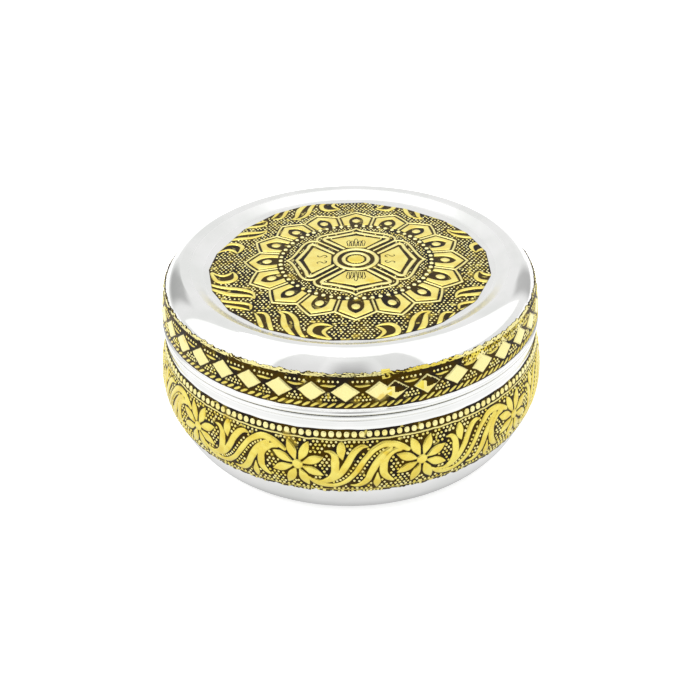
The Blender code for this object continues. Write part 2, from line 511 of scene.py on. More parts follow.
@dataclass(frozen=True)
class FoilFinish:
    """Embossed brass foil: bright relief over a dark oxidised ground.

    The mesh carries "gold", how far inside the bright metal a point lies, and "pale", how
    rubbed and bright it is; on the lid's crumpled upper edge "pale" is a painted highlight.

    Attributes:
        name: The material's name.
        light: One of the two shades of the bright metal.
        deep: The other.
        worn_and_highlight: Colour where it is pale: rubbed metal, and a painted highlight on the lid's
            crumpled upper edge.
        stain: Colour of its stained patches.
        ground: Colour of the oxide.
        bruise: Second colour of the oxide.
        gold_roughness: Roughness of the bright metal.
        ground_roughness: Roughness of the oxide.
        edge: Millimetres over which one passes into the other, on both sides.
    """

    name: str = "brass_foil"
    light: tuple = paint(227, 211, 94)
    deep: tuple = paint(216, 192, 62)
    worn_and_highlight: tuple = paint(238, 230, 168)
    stain: tuple = paint(212, 176, 24)
    ground: tuple = paint(66, 49, 10)
    bruise: tuple = paint(40, 33, 26)
    gold_roughness: float = 0.24
    ground_roughness: float = 0.5
    edge: float = 0.16

    def material(self) -> bpy.types.Material:
        """Builds the material."""
        board = Board(self.name)
        gold, pale = board.trait("gold"), board.trait("pale")
        grain, cloud, patch = board.noise(0.5, 3.0), board.noise(6.0, 3.0), board.noise(3.4, 4.0)
        bright = (gold + (grain - 0.5) * 0.34).step(-self.edge, self.edge)
        rubbed = patch.step(0.60, 0.70) * gold.step(-0.3, -0.9) * 0.75
        stained = board.noise(7.5, 4.0).step(0.62, 0.72)
        metal = board.blend(cloud.step(0.36, 0.62), self.deep, self.light)
        # Pale metal: rubbed brass, and on the lid's crumpled upper edge a painted highlight.
        metal = board.blend((pale + (grain - 0.5) * 0.3).step(0.1, 1.0), metal, self.worn_and_highlight)
        metal = board.blend(stained * 0.55, metal, self.stain)
        dark = board.blend(board.noise(9.0, 2.0).step(0.45, 0.6), self.ground, self.bruise)
        shown = bright.at_least(rubbed).at_least(stained * 0.3)
        inputs = {
            "Base Color": board.blend(shown, dark, metal),
            "Metallic": 1.0,
            "Roughness": self.ground_roughness + (self.gold_roughness - self.ground_roughness) * shown
            + (grain - 0.5) * 0.16,
            "Normal": board.bump(grain + board.noise(1.6, 2.0), 0.03),
        }
        return board.surface(inputs)


TOP_FOIL = FoilFinish("top_brass_foil", paint(248, 232, 118), paint(240, 214, 84), paint(250, 243, 182),
                      paint(240, 206, 50), paint(64, 49, 12), paint(34, 27, 22))


@dataclass(frozen=True)
class SteelFinish:
    """Polished sheet steel with the faint rings that turning and polishing leave.

    Attributes:
        name: The material's name.
        light: One of its two shades.
        dull: The other.
        roughness: Its roughness.
        pressed: Radii in millimetres between which it was pressed after polishing and is duller.
    """

    name: str
    light: tuple = paint(233, 233, 232)
    dull: tuple = paint(226, 227, 225)
    roughness: float = 0.08
    pressed: tuple[float, float] | None = None

    def material(self) -> bpy.types.Material:
        """Builds the material; the rings are noise stretched along the turn."""
        board = Board(self.name)
        place = board.place()
        x, y, z = (board.node("ShaderNodeSeparateXYZ", {}, {0: place}, axis) for axis in "XYZ")
        radius = (x * x + y * y).math("SQRT")
        ring = board.node("ShaderNodeCombineXYZ", {}, {0: radius, 1: z, 2: 0.0})
        lines = board.noise(0.35, 2.0, ring)
        cloud = board.noise(22.0, 3.0)
        drawn = board.node("ShaderNodeMapping", {}, {"Vector": place, "Scale": (1, 9, 1)})
        scratch = board.noise(1.1, 4.0, drawn)
        rough = self.roughness + (cloud - 0.5) * 0.02 + lines * 0.02 + scratch.step(0.66, 0.74) * 0.04
        if self.pressed:
            first, last = (edge * MM for edge in self.pressed)
            rough = rough + 0.2 * radius.step(first - MM, first) * radius.step(last + MM, last - MM)
        inputs = {
            "Base Color": board.blend(cloud.step(0.35, 0.65), self.dull, self.light),
            "Metallic": 1.0,
            "Roughness": rough,
            "Normal": board.bump(lines, 0.0012),
        }
        return board.surface(inputs)


# ---------------------------------------------------------------- profiles of the steel


@dataclass(frozen=True)
class Contour:
    """A wall's outside.

    Attributes:
        points: Dense rows of radius and height that run downwards.
    """

    points: Array

    def radius(self, height: Array) -> Array:
        """The wall's radius at each height, between its points."""
        return np.interp(height, self.points[::-1, 1], self.points[::-1, 0])

    def inside(self, thickness: float) -> Array:
        """The points moved inwards, square to the wall."""
        run, drop = np.gradient(self.points[:, 0]), np.gradient(self.points[:, 1])
        length = np.hypot(run, drop)
        shift = thickness * columns_of(drop, -run) / length[:, None]
        return self.points + shift


@dataclass(frozen=True)
class Shells:
    """Sizes that the bowl, the lid and their foils share.

    Attributes:
        sheet: Thickness of the steel.
        ledge: Height of the ledge that carries the lid.
        neck: Outer radius of the neck inside the lid, and height of its rim.
        panel: Radius and height of the lid's sunken panel.
        cove: Points of the slope from the panel up to the rounded crest.
        crest: Radius and height where the shoulder's curve would start level.
        shoulder: Where the lid's rounded shoulder meets its skirt.
        power: Exponent of the shoulder's curve, 2 being an ellipse.
        joined: Points of the shoulder's curve that the crest's rounding takes the place of.
        hem: Radius and height of the lid's lower edge.
    """

    sheet: float = 0.9
    ledge: float = 59.5
    neck: tuple[float, float] = (85.3, 68.0)
    panel: tuple[float, float] = (66.6, 82.6)
    cove: tuple = ((68.3, 82.8), (70.0, 83.7), (71.9, 84.85), (73.8, 85.85), (75.6, 86.38))
    crest: tuple[float, float] = (75.5, 86.9)
    shoulder: tuple[float, float] = (86.2, 75.5)
    power: float = 1.6
    joined: int = 6
    hem: tuple[float, float] = (88.5, 60.0)

    def bowl_wall(self) -> Contour:
        """The bowl's outside from the ledge to the flat underside: bead, groove and belly."""
        bead = [(87.3, self.ledge), (87.85, 59.2), (88.0, 58.6), (88.0, 57.9), (87.75, 57.35),
                (87.85, 56.8)]
        belly = [(87.6, 55.2), (87.5, 53.0), (88.5, 47.5), (89.9, 41.0), (90.68, 33.5), (90.3, 27.0),
                 (88.6, 20.8), (86.6, 15.3), (84.5, 10.8), (82.2, 7.2), (79.9, 4.5), (76.9, 2.3),
                 (73.2, 0.7), (69.0, 0.0)]
        return Contour(smooth_path(bead + belly, 6))

    def lid_wall(self) -> Contour:
        """The lid's outside from the panel's edge to the hem.

        The shoulder's share out is the sine to the power 2 over the exponent, and its share
        down is one less the cosine to that power.
        """
        quarter = np.radians(np.linspace(0.0, 90.0, 40))
        out = np.maximum(np.sin(quarter), 0.0) ** (2 / self.power)
        down = 1.0 - np.maximum(np.cos(quarter), 0.0) ** (2 / self.power)
        reach, drop = self.shoulder[0] - self.crest[0], self.crest[1] - self.shoulder[1]
        curve = columns_of(self.crest[0] + reach * out, self.crest[1] - drop * down)
        curve = curve[self.joined:]
        cove = smooth_path([self.panel, *self.cove, curve[0]], 6)
        skirt = smooth_path([self.shoulder, (86.8, 71.0), (87.6, 65.5), (87.7, 62.4)], 8)
        return Contour(np.vstack([cove[:-1], curve, skirt[1:]]))


SHELLS = Shells()


def settle(made: bpy.types.Object, body: Body, material: bpy.types.Material,
           stands_for: Sequence[str] = ()) -> None:
    """Gives a piece its material and body, and hides the CAD nodes it stands for.

    Args:
        made: The finished piece.
        body: The CAD body it rides on.
        material: Its material.
        stands_for: CAD nodes that it replaces.
    """
    made.data.materials.append(material)
    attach(made, body.value)
    if stands_for:
        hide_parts(*stands_for)
    triangles = sum(len(p.vertices) - 2 for p in made.data.polygons)
    log.info("%s: %d triangles, on %s", made.name, triangles, body.value)


# ---------------------------------------------------------------- steel sub-assemblies


@dataclass
class Bowl:
    """The steel bowl: belly, ledge for the lid and the neck that the lid slips over.

    Attributes:
        shells: Sizes shared with the lid.
        columns: Parts that the turn is cut into.
        taper: How far the neck draws in towards its rim.
        rim: Height of the rim's rounding.
        groove: Height below which the wall has an inside of its own.
    """

    shells: Shells = SHELLS
    columns: int = 288
    taper: float = 0.4
    rim: float = 0.45
    groove: float = 53.1

    def section(self) -> Array:
        """Inner floor, inner wall, neck, rolled rim, ledge, outer wall and underside."""
        wall = self.shells.bowl_wall()
        sheet, ledge = self.shells.sheet, self.shells.ledge
        neck, top = self.shells.neck
        inner = wall.inside(sheet)[wall.points[:, 1] < self.groove]
        inner[:, 1] = np.maximum(inner[:, 1], sheet)
        inner = inner[np.concatenate([np.diff(inner[:, 0]) < -1e-3, [True]])][::-1]
        bend = smooth_path([inner[-1], (neck - sheet - 0.2, 56.2), (neck - sheet, ledge - 1.0),
                            (neck - self.taper - sheet, top - 1.2)], 6)
        turn = np.radians(np.linspace(180.0, 0.0, 9))
        rim = columns_of(neck - self.taper - sheet / 2 + 0.5 * sheet * np.cos(turn),
                         top - self.rim + self.rim * np.sin(turn))
        outside = np.array([(neck - 0.3, top - 2.0), (neck, ledge + 0.6), (neck + 0.15, ledge + 0.05),
                            (neck + 0.6, ledge)])
        floor = columns_of(np.array([0.0, 20.0, 45.0]), sheet)
        under = columns_of(np.array([45.0, 20.0, 0.0]), 0.0)
        return np.vstack([floor, inner, bend[1:], rim, outside, wall.points, under])

    def build(self, steel: bpy.types.Material) -> None:
        """Makes the bowl."""
        settle(turned("steel_bowl", self.section(), self.columns), Body.BOX, steel, ["bowl"])


@dataclass
class Lid:
    """The steel lid: sunken panel, cove, rounded crest, shoulder, skirt and rolled hem.

    Attributes:
        shells: Sizes shared with the bowl.
        columns: Parts that the turn is cut into.
    """

    shells: Shells = SHELLS
    columns: int = 320

    def section(self) -> Array:
        """Panel, wall outside, the hem's roll, and back along the inside."""
        wall = self.shells.lid_wall()
        sheet = self.shells.sheet
        edge, low = self.shells.hem
        roll = np.array([(edge - 0.35, low + 2.15), (edge - 0.05, low + 1.6), (edge, low + 1.1),
                         (edge - 0.1, low + 0.5), (edge - 0.5, low + 0.1), (edge - 1.1, low),
                         (edge - 1.7, low + 0.35), (edge - 1.75, low + 1.2)])
        radius, height = self.shells.panel
        inner = wall.inside(sheet)
        inner = inner[inner[:, 0] > radius + 0.8]
        top = columns_of(np.array([0.0, 25.0, 50.0, 64.0]), height)
        under = columns_of(np.array([radius + 0.5, 64.0, 50.0, 25.0, 0.0]), height - sheet)
        return np.vstack([top, wall.points, roll, inner[::-1], under])

    def build(self, steel: bpy.types.Material) -> None:
        """Makes the lid."""
        settle(turned("steel_lid", self.section(), self.columns), Body.LID, steel, ["lid"])


@dataclass
class CupSet:
    """Seven small steel cups, one in the middle and six around it.

    Attributes:
        count: Cups around the middle one.
        pitch: Distance from the middle one's axis to theirs.
        sheet: Thickness of the steel.
        height: Height of a cup.
        floor: Height of the undersides over the bowl's.
        bead: Radius of the middle of the rim's bead, and its half-width.
        wall: The outside as (radius, height) points that run downwards.
    """

    count: int = 6
    pitch: float = 55.6
    sheet: float = 0.8
    height: float = 42.0
    floor: float = 1.5
    bead: tuple[float, float] = (26.6, 0.7)
    wall: tuple[tuple[float, float], ...] = (
        (27.2, 40.7), (26.5, 40.2), (26.45, 38.5), (26.2, 25.0), (25.4, 12.0), (23.6, 6.0), (21.0, 3.0),
        (18.0, 1.0), (15.0, 0.0))

    def section(self) -> Array:
        """Inner floor and wall, the rim's bead, outer wall and underside."""
        wall = Contour(smooth_path(self.wall, 5))
        inner = wall.inside(self.sheet)
        inner[:, 1] = np.maximum(inner[:, 1], self.sheet)
        inner = inner[(inner[:, 1] < self.height - 2.5) & (inner[:, 0] > 13.0)]
        turn = np.radians(np.linspace(200.0, -20.0, 11))
        middle, half = self.bead
        bead = columns_of(middle + half * np.cos(turn), self.height - half + half * np.sin(turn))
        return np.vstack([[(0.0, self.sheet), (10.0, self.sheet)], inner[::-1], bead, wall.points[2:],
                          [(8.0, 0.0), (0.0, 0.0)]])

    def build(self, steel: bpy.types.Material) -> None:
        """Makes the cups where they stand in the bowl."""
        section = self.section()
        spots = {"cup_middle": (0.0, 0.0)}
        for number in range(self.count):
            turn = 2 * math.pi * number / self.count
            spots[f"cup_{number + 1}"] = (self.pitch * math.cos(turn), self.pitch * math.sin(turn))
        for name, (x, y) in spots.items():
            cup = turned(f"steel_{name}", section, 96)
            cup.data.transform(Matrix.Translation(Vector((x, y, self.floor)) * MM))
            settle(cup, Body(name), steel, [name])


@dataclass
class Spoon:
    """A small round-bowled spoon that lies across the cups' rims.

    Attributes:
        radius: Radius of the dish.
        depth: Depth of the dish.
        curve: Radius of the dish's rim over the radius of its sphere.
        sheet: Thickness of the dish.
        length: From the dish's middle to the handle's end.
        width: Greatest width of the handle.
        strip: Thickness of the handle.
        sunk: How far the handle's middle lies below the dish's rim.
        end: Length of the handle's rounded end.
        sides: Sides of the handle's sections.
        tilt: Degrees that the handle's end hangs down.
        heading: Degrees that the spoon is turned.
        place: Where the underside of the dish's middle lies.
    """

    radius: float = 9.0
    depth: float = 3.6
    curve: float = 0.92
    sheet: float = 0.8
    length: float = 84.0
    width: float = 4.6
    strip: float = 1.2
    sunk: float = 0.9
    end: float = 2.3
    sides: int = 24
    tilt: float = 1.3
    heading: float = 24.0
    place: tuple[float, float, float] = (-30.0, -9.0, 43.9)

    def dish(self) -> Array:
        """Section of the dish, inside first: each face is part of a sphere through its rim."""
        reach = np.linspace(0.0, 1.0, 16)
        rise = (1.0 - np.sqrt(1.0 - (self.curve * reach) ** 2)) / (1.0 - math.sqrt(1.0 - self.curve**2))
        room = self.depth - self.sheet
        inner = columns_of((self.radius - self.sheet) * reach, self.sheet + room * rise)
        outer = columns_of(self.radius * reach, self.depth * rise)
        return np.vstack([inner, outer[::-1]])

    def handle(self) -> Array:
        """Rounded sections along the handle, which narrows behind the dish and ends round."""
        rounding = 1.0 - 0.06 * (1 - np.linspace(0.0, 1.0, 10)[1:]) ** 2
        along = np.concatenate([np.linspace(0.0, 0.94, 24), rounding])[:, None]
        start = self.radius - self.sheet
        x = start + (self.length - start) * along
        past = ((x - (self.length - self.end)) / self.end).clip(0.0, 0.995)
        half = (0.36 + 0.14 * ramp(along, 0.1, 0.9)) * self.width * np.sqrt(np.clip(1.0 - past**2, 0.0, 1.0))
        turn = np.radians(np.arange(self.sides) * 360.0 / self.sides)
        y, z = (np.sign(c) * np.abs(c) ** 0.5 for c in (np.cos(turn), np.sin(turn)))
        return columns_of(x, half * y, self.depth - self.sunk + 0.5 * self.strip * z)

    def build(self, steel: bpy.types.Material) -> None:
        """Makes the dish and the handle and lays both in place."""
        dish = turned("steel_spoon", self.dish(), 96)
        handle = Lattice(self.handle(), wrap_columns=True).build("steel_spoon_handle", 50.0)
        lay = Matrix.Translation(Vector(self.place) * MM)
        lay = lay @ Matrix.Rotation(math.radians(self.heading), 4, "Z")
        lay = lay @ Matrix.Rotation(math.radians(self.tilt), 4, "Y")
        dish.data.transform(lay)
        handle.data.transform(lay)
        settle(dish, Body.SPOON, steel, ["spoon"])
        settle(handle, Body.SPOON, steel)


# ---------------------------------------------------------------- embossed foil


@dataclass
class Relief:
    """A pattern over a foil.

    Attributes:
        rise: Rise over the ground.
        gold: Distance into the bright metal, below nothing outside it.
        pale: How pale the metal is, from 0 to 1: rubbed and bright, and on the lid's crumpled upper edge a
            painted highlight.
    """

    rise: Array
    gold: Array
    pale: Array

    def raise_by(self, depth: Array, height: float, low: float = -0.12, high: float = 0.5,
                 pale: float = 0.3) -> None:
        """Adds a raised motif.

        Args:
            depth: How far inside the motif each point lies.
            height: The motif's rise.
            low: Depth where the rise starts.
            high: Depth where it is full.
            pale: Paleness of its middle.
        """
        self.rise = np.maximum(self.rise, height * ramp(depth, low, high))
        self.pale = np.where(depth > self.gold, pale, self.pale)
        self.gold = np.maximum(self.gold, depth)


def flat_relief(shape: tuple[int, ...]) -> Relief:
    """Bare ground."""
    return Relief(np.zeros(shape), np.full(shape, FAR), np.zeros(shape))


@dataclass
class Scroll:
    """The body band's pattern: flowers joined by a running vine with leaves and dots.

    Places are millimetres from a flower's middle, along the band and up, and the pattern
    repeats after each flower. Strokes are rows of place, place and half-width.

    Attributes:
        pitch: Distance between flowers.
        petals: Petals of a flower.
        petal: A petal's stroke: (distance from the flower's middle, half-width).
        eye: Radius of the flower's middle.
        pip_step: Distances between dots along the band and up.
        gutter: Distance of the dots beside the runner from its middle, and from each other.
        runner: The stroke that joins two flowers.
        leaves: The strokes that branch off it.
    """

    pitch: float = 53.56
    petals: int = 8
    petal: tuple = ((2.9, 0.4), (4.6, 1.15), (6.6, 1.85), (8.4, 1.7), (10.2, 0.95), (12.0, 0.08))
    eye: float = 2.15
    pip_step: tuple[float, float] = (1.95, 1.6)
    gutter: tuple[float, float] = (2.15, 1.9)
    runner: tuple = (
        (-48.65, -6.25, 0.3), (-47, -8.1, 0.9), (-43.5, -10, 1.3), (-38.9, -10.5, 1.15), (-34.8, -9, 1),
        (-31.5, -6.4, 1), (-28.8, -2.9, 1), (-26.6, 0.7, 1.05), (-24.2, 4.3, 1.05), (-20.9, 7.8, 1.15),
        (-16.8, 9.9, 1.3), (-12.4, 9.7, 1.3), (-8.9, 8.1, 1.3), (-6, 6.3, 0.8))
    leaves: tuple = (
        ((-43.5, -8.9, 0.2), (-40.2, -7.8, 0.8), (-37.1, -5.6, 1.1), (-34.7, -2.7, 1.3), (-32.7, 0.8, 1.35),
         (-30.8, 4.6, 1.35), (-28.4, 8, 1.25), (-25.9, 9.6, 0.85), (-23.3, 9.45, 0.15)),
        ((-41.7, 7.45, 0.15), (-39.3, 7.1, 0.75), (-37.6, 5, 1.25), (-37.3, 1.9, 1.6), (-37.5, -1.5, 1.5),
         (-38.5, -4.4, 1.2), (-40.6, -6.7, 0.9), (-43.5, -8, 0.6), (-46.4, -7.4, 0.5)),
        ((-30.85, -10, 0.25), (-28.6, -10.4, 0.8), (-26.1, -9.4, 1.15), (-23.8, -6.7, 1.35),
         (-22.2, -3.3, 1.45), (-20.5, 0.4, 1.45), (-18.6, 3.75, 1.2), (-16.4, 6.25, 1), (-13.7, 7.9, 0.8)),
        ((-9.5, 6.9, 0.9), (-12.2, 6.45, 1), (-14.9, 4.45, 1.2), (-16.6, 1.7, 1.45), (-16.9, -1.25, 1.6),
         (-16.6, -4.2, 1.5), (-15.1, -6.7, 1.25), (-12.8, -8.6, 0.5)),
        ((-19.4, -3.5, 0.1), (-19.5, -6.2, 0.8), (-19.7, -8.6, 1.45), (-19.7, -10.6, 0.8),
         (-19.7, -12.1, 0.1)),
        ((-34.2, 3.75, 0.1), (-34.8, 6.25, 1.3), (-34.8, 8.1, 1.8), (-34.7, 10.2, 1.2),
         (-34.6, 11.7, 0.15)))

    def strokes(self) -> list[Array]:
        """Every stroke of one repeat, the petals of the flowers at both its ends among them."""
        paths = [smooth_path(self.runner)] + [smooth_path(leaf) for leaf in self.leaves]
        for middle in (0.0, -self.pitch):
            for number in range(self.petals):
                turn = 2 * math.pi * (number + 0.5) / self.petals
                path = [(middle + r * math.cos(turn), r * math.sin(turn), w) for r, w in self.petal]
                paths.append(smooth_path(path))
        return paths

    def field(self, u: Array, v: Array) -> Array:
        """Distance into the motifs at places within one repeat, u being -pitch to 0."""
        depth = strokes_field(u, v, self.strokes())
        for middle in (0.0, -self.pitch):
            depth = np.maximum(depth, self.eye - np.hypot(u - middle, v))
        return depth

    def channel(self) -> Array:
        """Places of the dots in the channels on both sides of the runner."""
        path = smooth_path(self.runner, 12)[:, :2]
        step = np.gradient(path, axis=0)
        normal = np.stack([-step[:, 1], step[:, 0]], 1) / np.hypot(*step.T)[:, None]
        length = np.concatenate([[0.0], np.cumsum(np.hypot(*np.diff(path, axis=0).T))])
        aside, apart = self.gutter
        spots = []
        for side, first, last in ((1.0, -37.5, -23.0), (-1.0, -31.0, -17.5)):
            row = path + side * aside * normal
            start, stop = np.interp([first, last], path[:, 0], length)
            where = np.arange(start, stop, apart)
            spots.append(np.stack([np.interp(where, length, row[:, k]) for k in (0, 1)], 1))
        return np.vstack(spots)

    def pips(self, low: float, high: float) -> Array:
        """Places and radii of a repeat's dots: a jittered honeycomb where no motif is near.

        Args:
            low: Lowest place up the band.
            high: Highest place.

        Returns:
            Rows of place, place and radius.
        """
        random = np.random.default_rng(7)
        u, v = honeycomb(*self.pip_step, (-self.pitch, 0.0), (low, high), 0.16, random)
        channel = self.channel()
        apart = np.hypot(u[:, None] - channel[:, 0], v[:, None] - channel[:, 1]).min(1)
        keep = (self.field(u, v) < -0.78) & (apart > 1.4) & (u < -0.2)
        free = columns_of(u[keep], v[keep], random.uniform(0.58, 0.74, keep.sum()))
        return np.vstack([free, columns_of(*channel.T, 0.62)])


@dataclass
class Foil:
    """What every foil shares.

    Attributes:
        body: The body it rides on.
        ground: How far the ground of its relief stands off the steel.
        bottom: How far its underside does.
    """

    body: Body
    ground: float = 0.14
    bottom: float = 0.04

    def dress(self, made: bpy.types.Object, brass: bpy.types.Material,
              stands_for: Sequence[str] = ()) -> None:
        """Gives a piece of foil its material and body."""
        settle(made, self.body, brass, stands_for)

    def solid(self, name: str, top: Array, under: Array, relief: Relief, edge: Relief,
              brass: bpy.types.Material, stands_for: Sequence[str] = (), ring: bool = False) -> None:
        """Makes a closed piece of foil from its embossed side and its underside.

        Args:
            name: The piece's name.
            top: Places of the embossed side.
            under: Places of the underside, which goes on from the last row of top.
            relief: The pattern at the places of top.
            edge: The pattern at the places of under.
            brass: Its material.
            stands_for: CAD nodes that it replaces.
            ring: Whether the piece goes all the way round, and has a flat underside.
        """
        traits = {"gold": np.vstack([relief.gold, edge.gold]), "pale": np.vstack([relief.pale, edge.pale])}
        grid = Lattice(np.concatenate([top, under]), wrap_rows=not ring, wrap_columns=ring, traits=traits)
        self.dress(grid.build(name, 80.0), brass, stands_for)

    def domes(self, name: str, shape: DomeShape, place: tuple[Array, Array, Array], size: Array,
              pale: Array, brass: bpy.types.Material) -> None:
        """Makes dots as one piece.

        Args:
            name: The piece's name.
            shape: The dot.
            place: Places on the ground, directions that the dots rise in and directions of their width.
            size: Half-width along, half-width across and rise of each.
            pale: Their paleness.
            brass: Their material.
        """
        traits = {"gold": np.ones(len(size)), "pale": pale}
        self.dress(shape.spread(name, *place, size, traits), brass)


@dataclass
class Band(Foil):
    """A foil strip wrapped round a wall, with its ends lapped at a seam.

    Attributes:
        wall: The steel that it is wrapped round.
        degree: Millimetres along it for each degree of azimuth.
        low: Height of its lower edge.
        high: Height of its upper edge.
        seam: Azimuth where the strip starts, and just past which it ends.
        lap: Degrees that the end goes on over the start.
        lift: How far the end is lifted by the start under it, and the azimuths past the seam
            where it begins to lift and is fully lifted.
        columns: Columns of the whole turn.
        rows: Rows of the outer face.
        parts: Pieces that the turn is made in.
        prefix: Start of the pieces' names.
    """

    wall: Contour = field(default_factory=SHELLS.bowl_wall)
    degree: float = 1.592
    low: float = 0.0
    high: float = 0.0
    seam: float = 95.0
    lap: float = 1.4
    lift: tuple[float, float, float] = (0.2, 352.0, 359.5)
    columns: int = 1620
    rows: int = 100
    parts: int = 3
    prefix: str = ""

    def edges(self, azimuth: Array) -> tuple[Array, Array]:
        """Lower and upper edge at each azimuth."""
        raise NotImplementedError

    def relief(self, azimuth: Array, height: Array) -> Relief:
        """The pattern at each place."""
        raise NotImplementedError

    def stand_off(self, azimuth: Array, height: Array) -> Array:
        """How far the foil's ground stands off the steel: more where its ends lap each other."""
        rise, start, full = self.lift
        return self.ground + rise * ramp(azimuth, self.seam + start, self.seam + full) + 0.0 * height

    def build(self, brass: bpy.types.Material, stands_for: Sequence[str]) -> None:
        """Makes the strip in its parts: out over the relief, and back along the steel."""
        every = self.seam + np.linspace(0.0, 360.0 + self.lap, self.columns + 1)
        cuts = np.linspace(0, self.columns, self.parts + 1).astype(int)
        for number, (start, stop) in enumerate(zip(cuts, cuts[1:])):
            azimuth = every[start:stop + 1][None, :]
            low, high = self.edges(azimuth)
            height = high + (low - high) * np.linspace(0.0, 1.0, self.rows)[:, None]
            relief = self.relief(azimuth, height)
            off = self.stand_off(azimuth, height)
            outer = around(self.wall.radius(height) + off + relief.rise, azimuth, height)
            back = height[::-8]
            if (self.rows - 1) % 8:
                back = np.vstack([back, height[:1]])
            inner = around(self.wall.radius(back) + off[:1] - self.ground + self.bottom, azimuth, back)
            self.solid(f"{self.prefix}_{number + 1}", outer, inner, relief, flat_relief(back.shape), brass,
                       stands_for if number == 0 else ())

    def dots(self, name: str, shape: DomeShape, azimuth: Array, height: Array, size: Array,
             pale: Array, brass: bpy.types.Material) -> None:
        """Raises dots on the band.

        Args:
            name: The piece's name.
            shape: The dot.
            azimuth: Azimuths of the dots, within the strip.
            height: Their heights.
            size: Half-width along, half-width up and rise of each.
            pale: Their paleness.
            brass: Their material.
        """
        step = 0.4
        slope = (self.wall.radius(height + step) - self.wall.radius(height - step)) / (2 * step)
        off = self.stand_off(azimuth, height)
        centres = around(self.wall.radius(height) + off, azimuth, height)
        along = around(1.0, azimuth + 90.0, 0.0)
        out = around(1.0, azimuth, -slope)
        out /= np.linalg.norm(out, axis=1)[:, None]
        self.domes(name, shape, (centres, out, along), size, pale, brass)


@dataclass
class BodyBand(Band):
    """The bowl's broad foil: scrolling vine below a row of beads.

    Attributes:
        flower_height: Height of the flowers' middles.
        flower_azimuth: Azimuth of one flower.
        repeat: Degrees from flower to flower.
        bead_height: Height of the beads.
        bead_count: Beads in the whole turn.
        line_height: Height of the raised line under the beads.
        scroll: The pattern.
    """

    flower_height: float = 35.4
    flower_azimuth: float = -71.25
    repeat: float = 33.65
    bead_height: float = 50.6
    bead_count: int = 175
    line_height: float = 48.25
    scroll: Scroll = field(default_factory=Scroll)

    def edges(self, azimuth: Array) -> tuple[Array, Array]:
        """A ragged lower edge, and an upper edge that is nearly straight."""
        arc = azimuth * self.degree
        low = self.low + 0.55 + 0.5 * wander(arc, 0 * arc, 7.0, 3) + 0.3 * wander(arc, 0 * arc, 1.6, 4)
        high = self.high - 0.25 + 0.2 * wander(arc, 0 * arc, 12.0, 5)
        return np.clip(low, self.low, None), np.clip(high, None, self.high)

    @cached_property
    def tile(self) -> tuple[Array, Array, Array]:
        """The motifs' field over one repeat: places along, places up and depths."""
        along = np.linspace(-self.scroll.pitch, 0.0, 320)
        up = np.linspace(-15.5, 13.5, 174)
        v, u = np.meshgrid(up, along, indexing="ij")
        return along, up, self.scroll.field(u, v)

    def relief(self, azimuth: Array, height: Array) -> Relief:
        """Looks the motifs up in the tile, between its samples, and adds the lines and edges."""
        along, up, depths = self.tile
        arc = azimuth * self.degree + 0 * height
        share = np.mod((azimuth - 360.0 - self.flower_azimuth) / self.repeat, 1.0)
        u = (share - 1.0) * self.scroll.pitch + 0.12 * wander(arc, height, 9.0, 11)
        v = height - self.flower_height + 0.12 * wander(arc, height, 8.0, 12)
        fx = np.clip((u - along[0]) / (along[1] - along[0]), 0, len(along) - 1.001)
        fy = np.clip((v - up[0]) / (up[1] - up[0]), 0, len(up) - 1.001)
        ix, iy = fx.astype(int), fy.astype(int)
        tx, ty = fx - ix, fy - iy
        depth = (depths[iy, ix] * (1 - tx) + depths[iy, ix + 1] * tx) * (1 - ty)
        depth += (depths[iy + 1, ix] * (1 - tx) + depths[iy + 1, ix + 1] * tx) * ty
        depth = np.where(height > self.line_height - 0.9, FAR, depth)
        relief = flat_relief(depth.shape)
        relief.rise += 0.03 * wander(arc, height, 2.2, 13)
        relief.raise_by(depth + 0.12, 0.46, pale=0.32)
        line = self.line_height + 0.16 * wander(arc, 0 * height, 6.0, 14)
        relief.raise_by(0.34 - np.abs(height - line), 0.3, -0.1, 0.3, 0.6)
        relief.raise_by(0.22 - np.abs(height - self.low - 1.9), 0.2, -0.1, 0.2, 0.4)
        crinkle = ramp(height, self.low + 1.7, self.low + 1.2)
        creases = np.abs(wander(arc, height * 0.35, 2.3, 15))
        relief.rise = relief.rise * (1 - crinkle) + crinkle * (0.1 + 0.22 * creases)
        folded = 1.6 * creases - 0.9
        relief.gold = np.where(crinkle > 0.02, folded * crinkle + relief.gold * (1 - crinkle), relief.gold)
        relief.pale = relief.pale + crinkle * 0.25
        return relief

    def add_dots(self, brass: bpy.types.Material) -> None:
        """Raises the beads, and the dots among the vine."""
        count = self.bead_count
        azimuth = self.seam + 0.6 + np.arange(count) * 360.0 / count
        random = np.random.default_rng(21)
        height = self.bead_height + random.normal(0.0, 0.06, count)
        size = np.array([1.26, 1.46, 0.5]) * random.uniform(0.94, 1.03, (count, 1))
        bead = DomeShape(12, ((1.0, -0.25), (0.96, 0.5), (0.8, 0.92), (0.45, 1.0)), 0.86, 2.7)
        self.dots("body_beads", bead, azimuth, height, size, random.uniform(0.55, 1.0, count), brass)
        floor, ceiling = self.low + 2.9, self.line_height - 1.0
        pips = self.scroll.pips(floor - self.flower_height, ceiling - self.flower_height)
        repeats = np.arange(-6, 7)
        turn = self.flower_azimuth + (pips[:, 0] / self.scroll.pitch + 1 + repeats[:, None]) * self.repeat
        turn = turn.ravel()
        rows = np.tile(pips, (len(repeats), 1))
        keep = (turn > self.seam - 359.0) & (turn < self.seam + 0.5)
        turn, rows = turn[keep] + 360.0, rows[keep]
        turn = np.where(turn > self.seam + 359.5, turn - 360.0, turn)
        size = columns_of(rows[:, 2], rows[:, 2], 0.42)
        pale = np.random.default_rng(22).uniform(0.25, 0.85, len(rows))
        self.dots("body_pips", DomeShape(), turn, rows[:, 1] + self.flower_height, size, pale, brass)


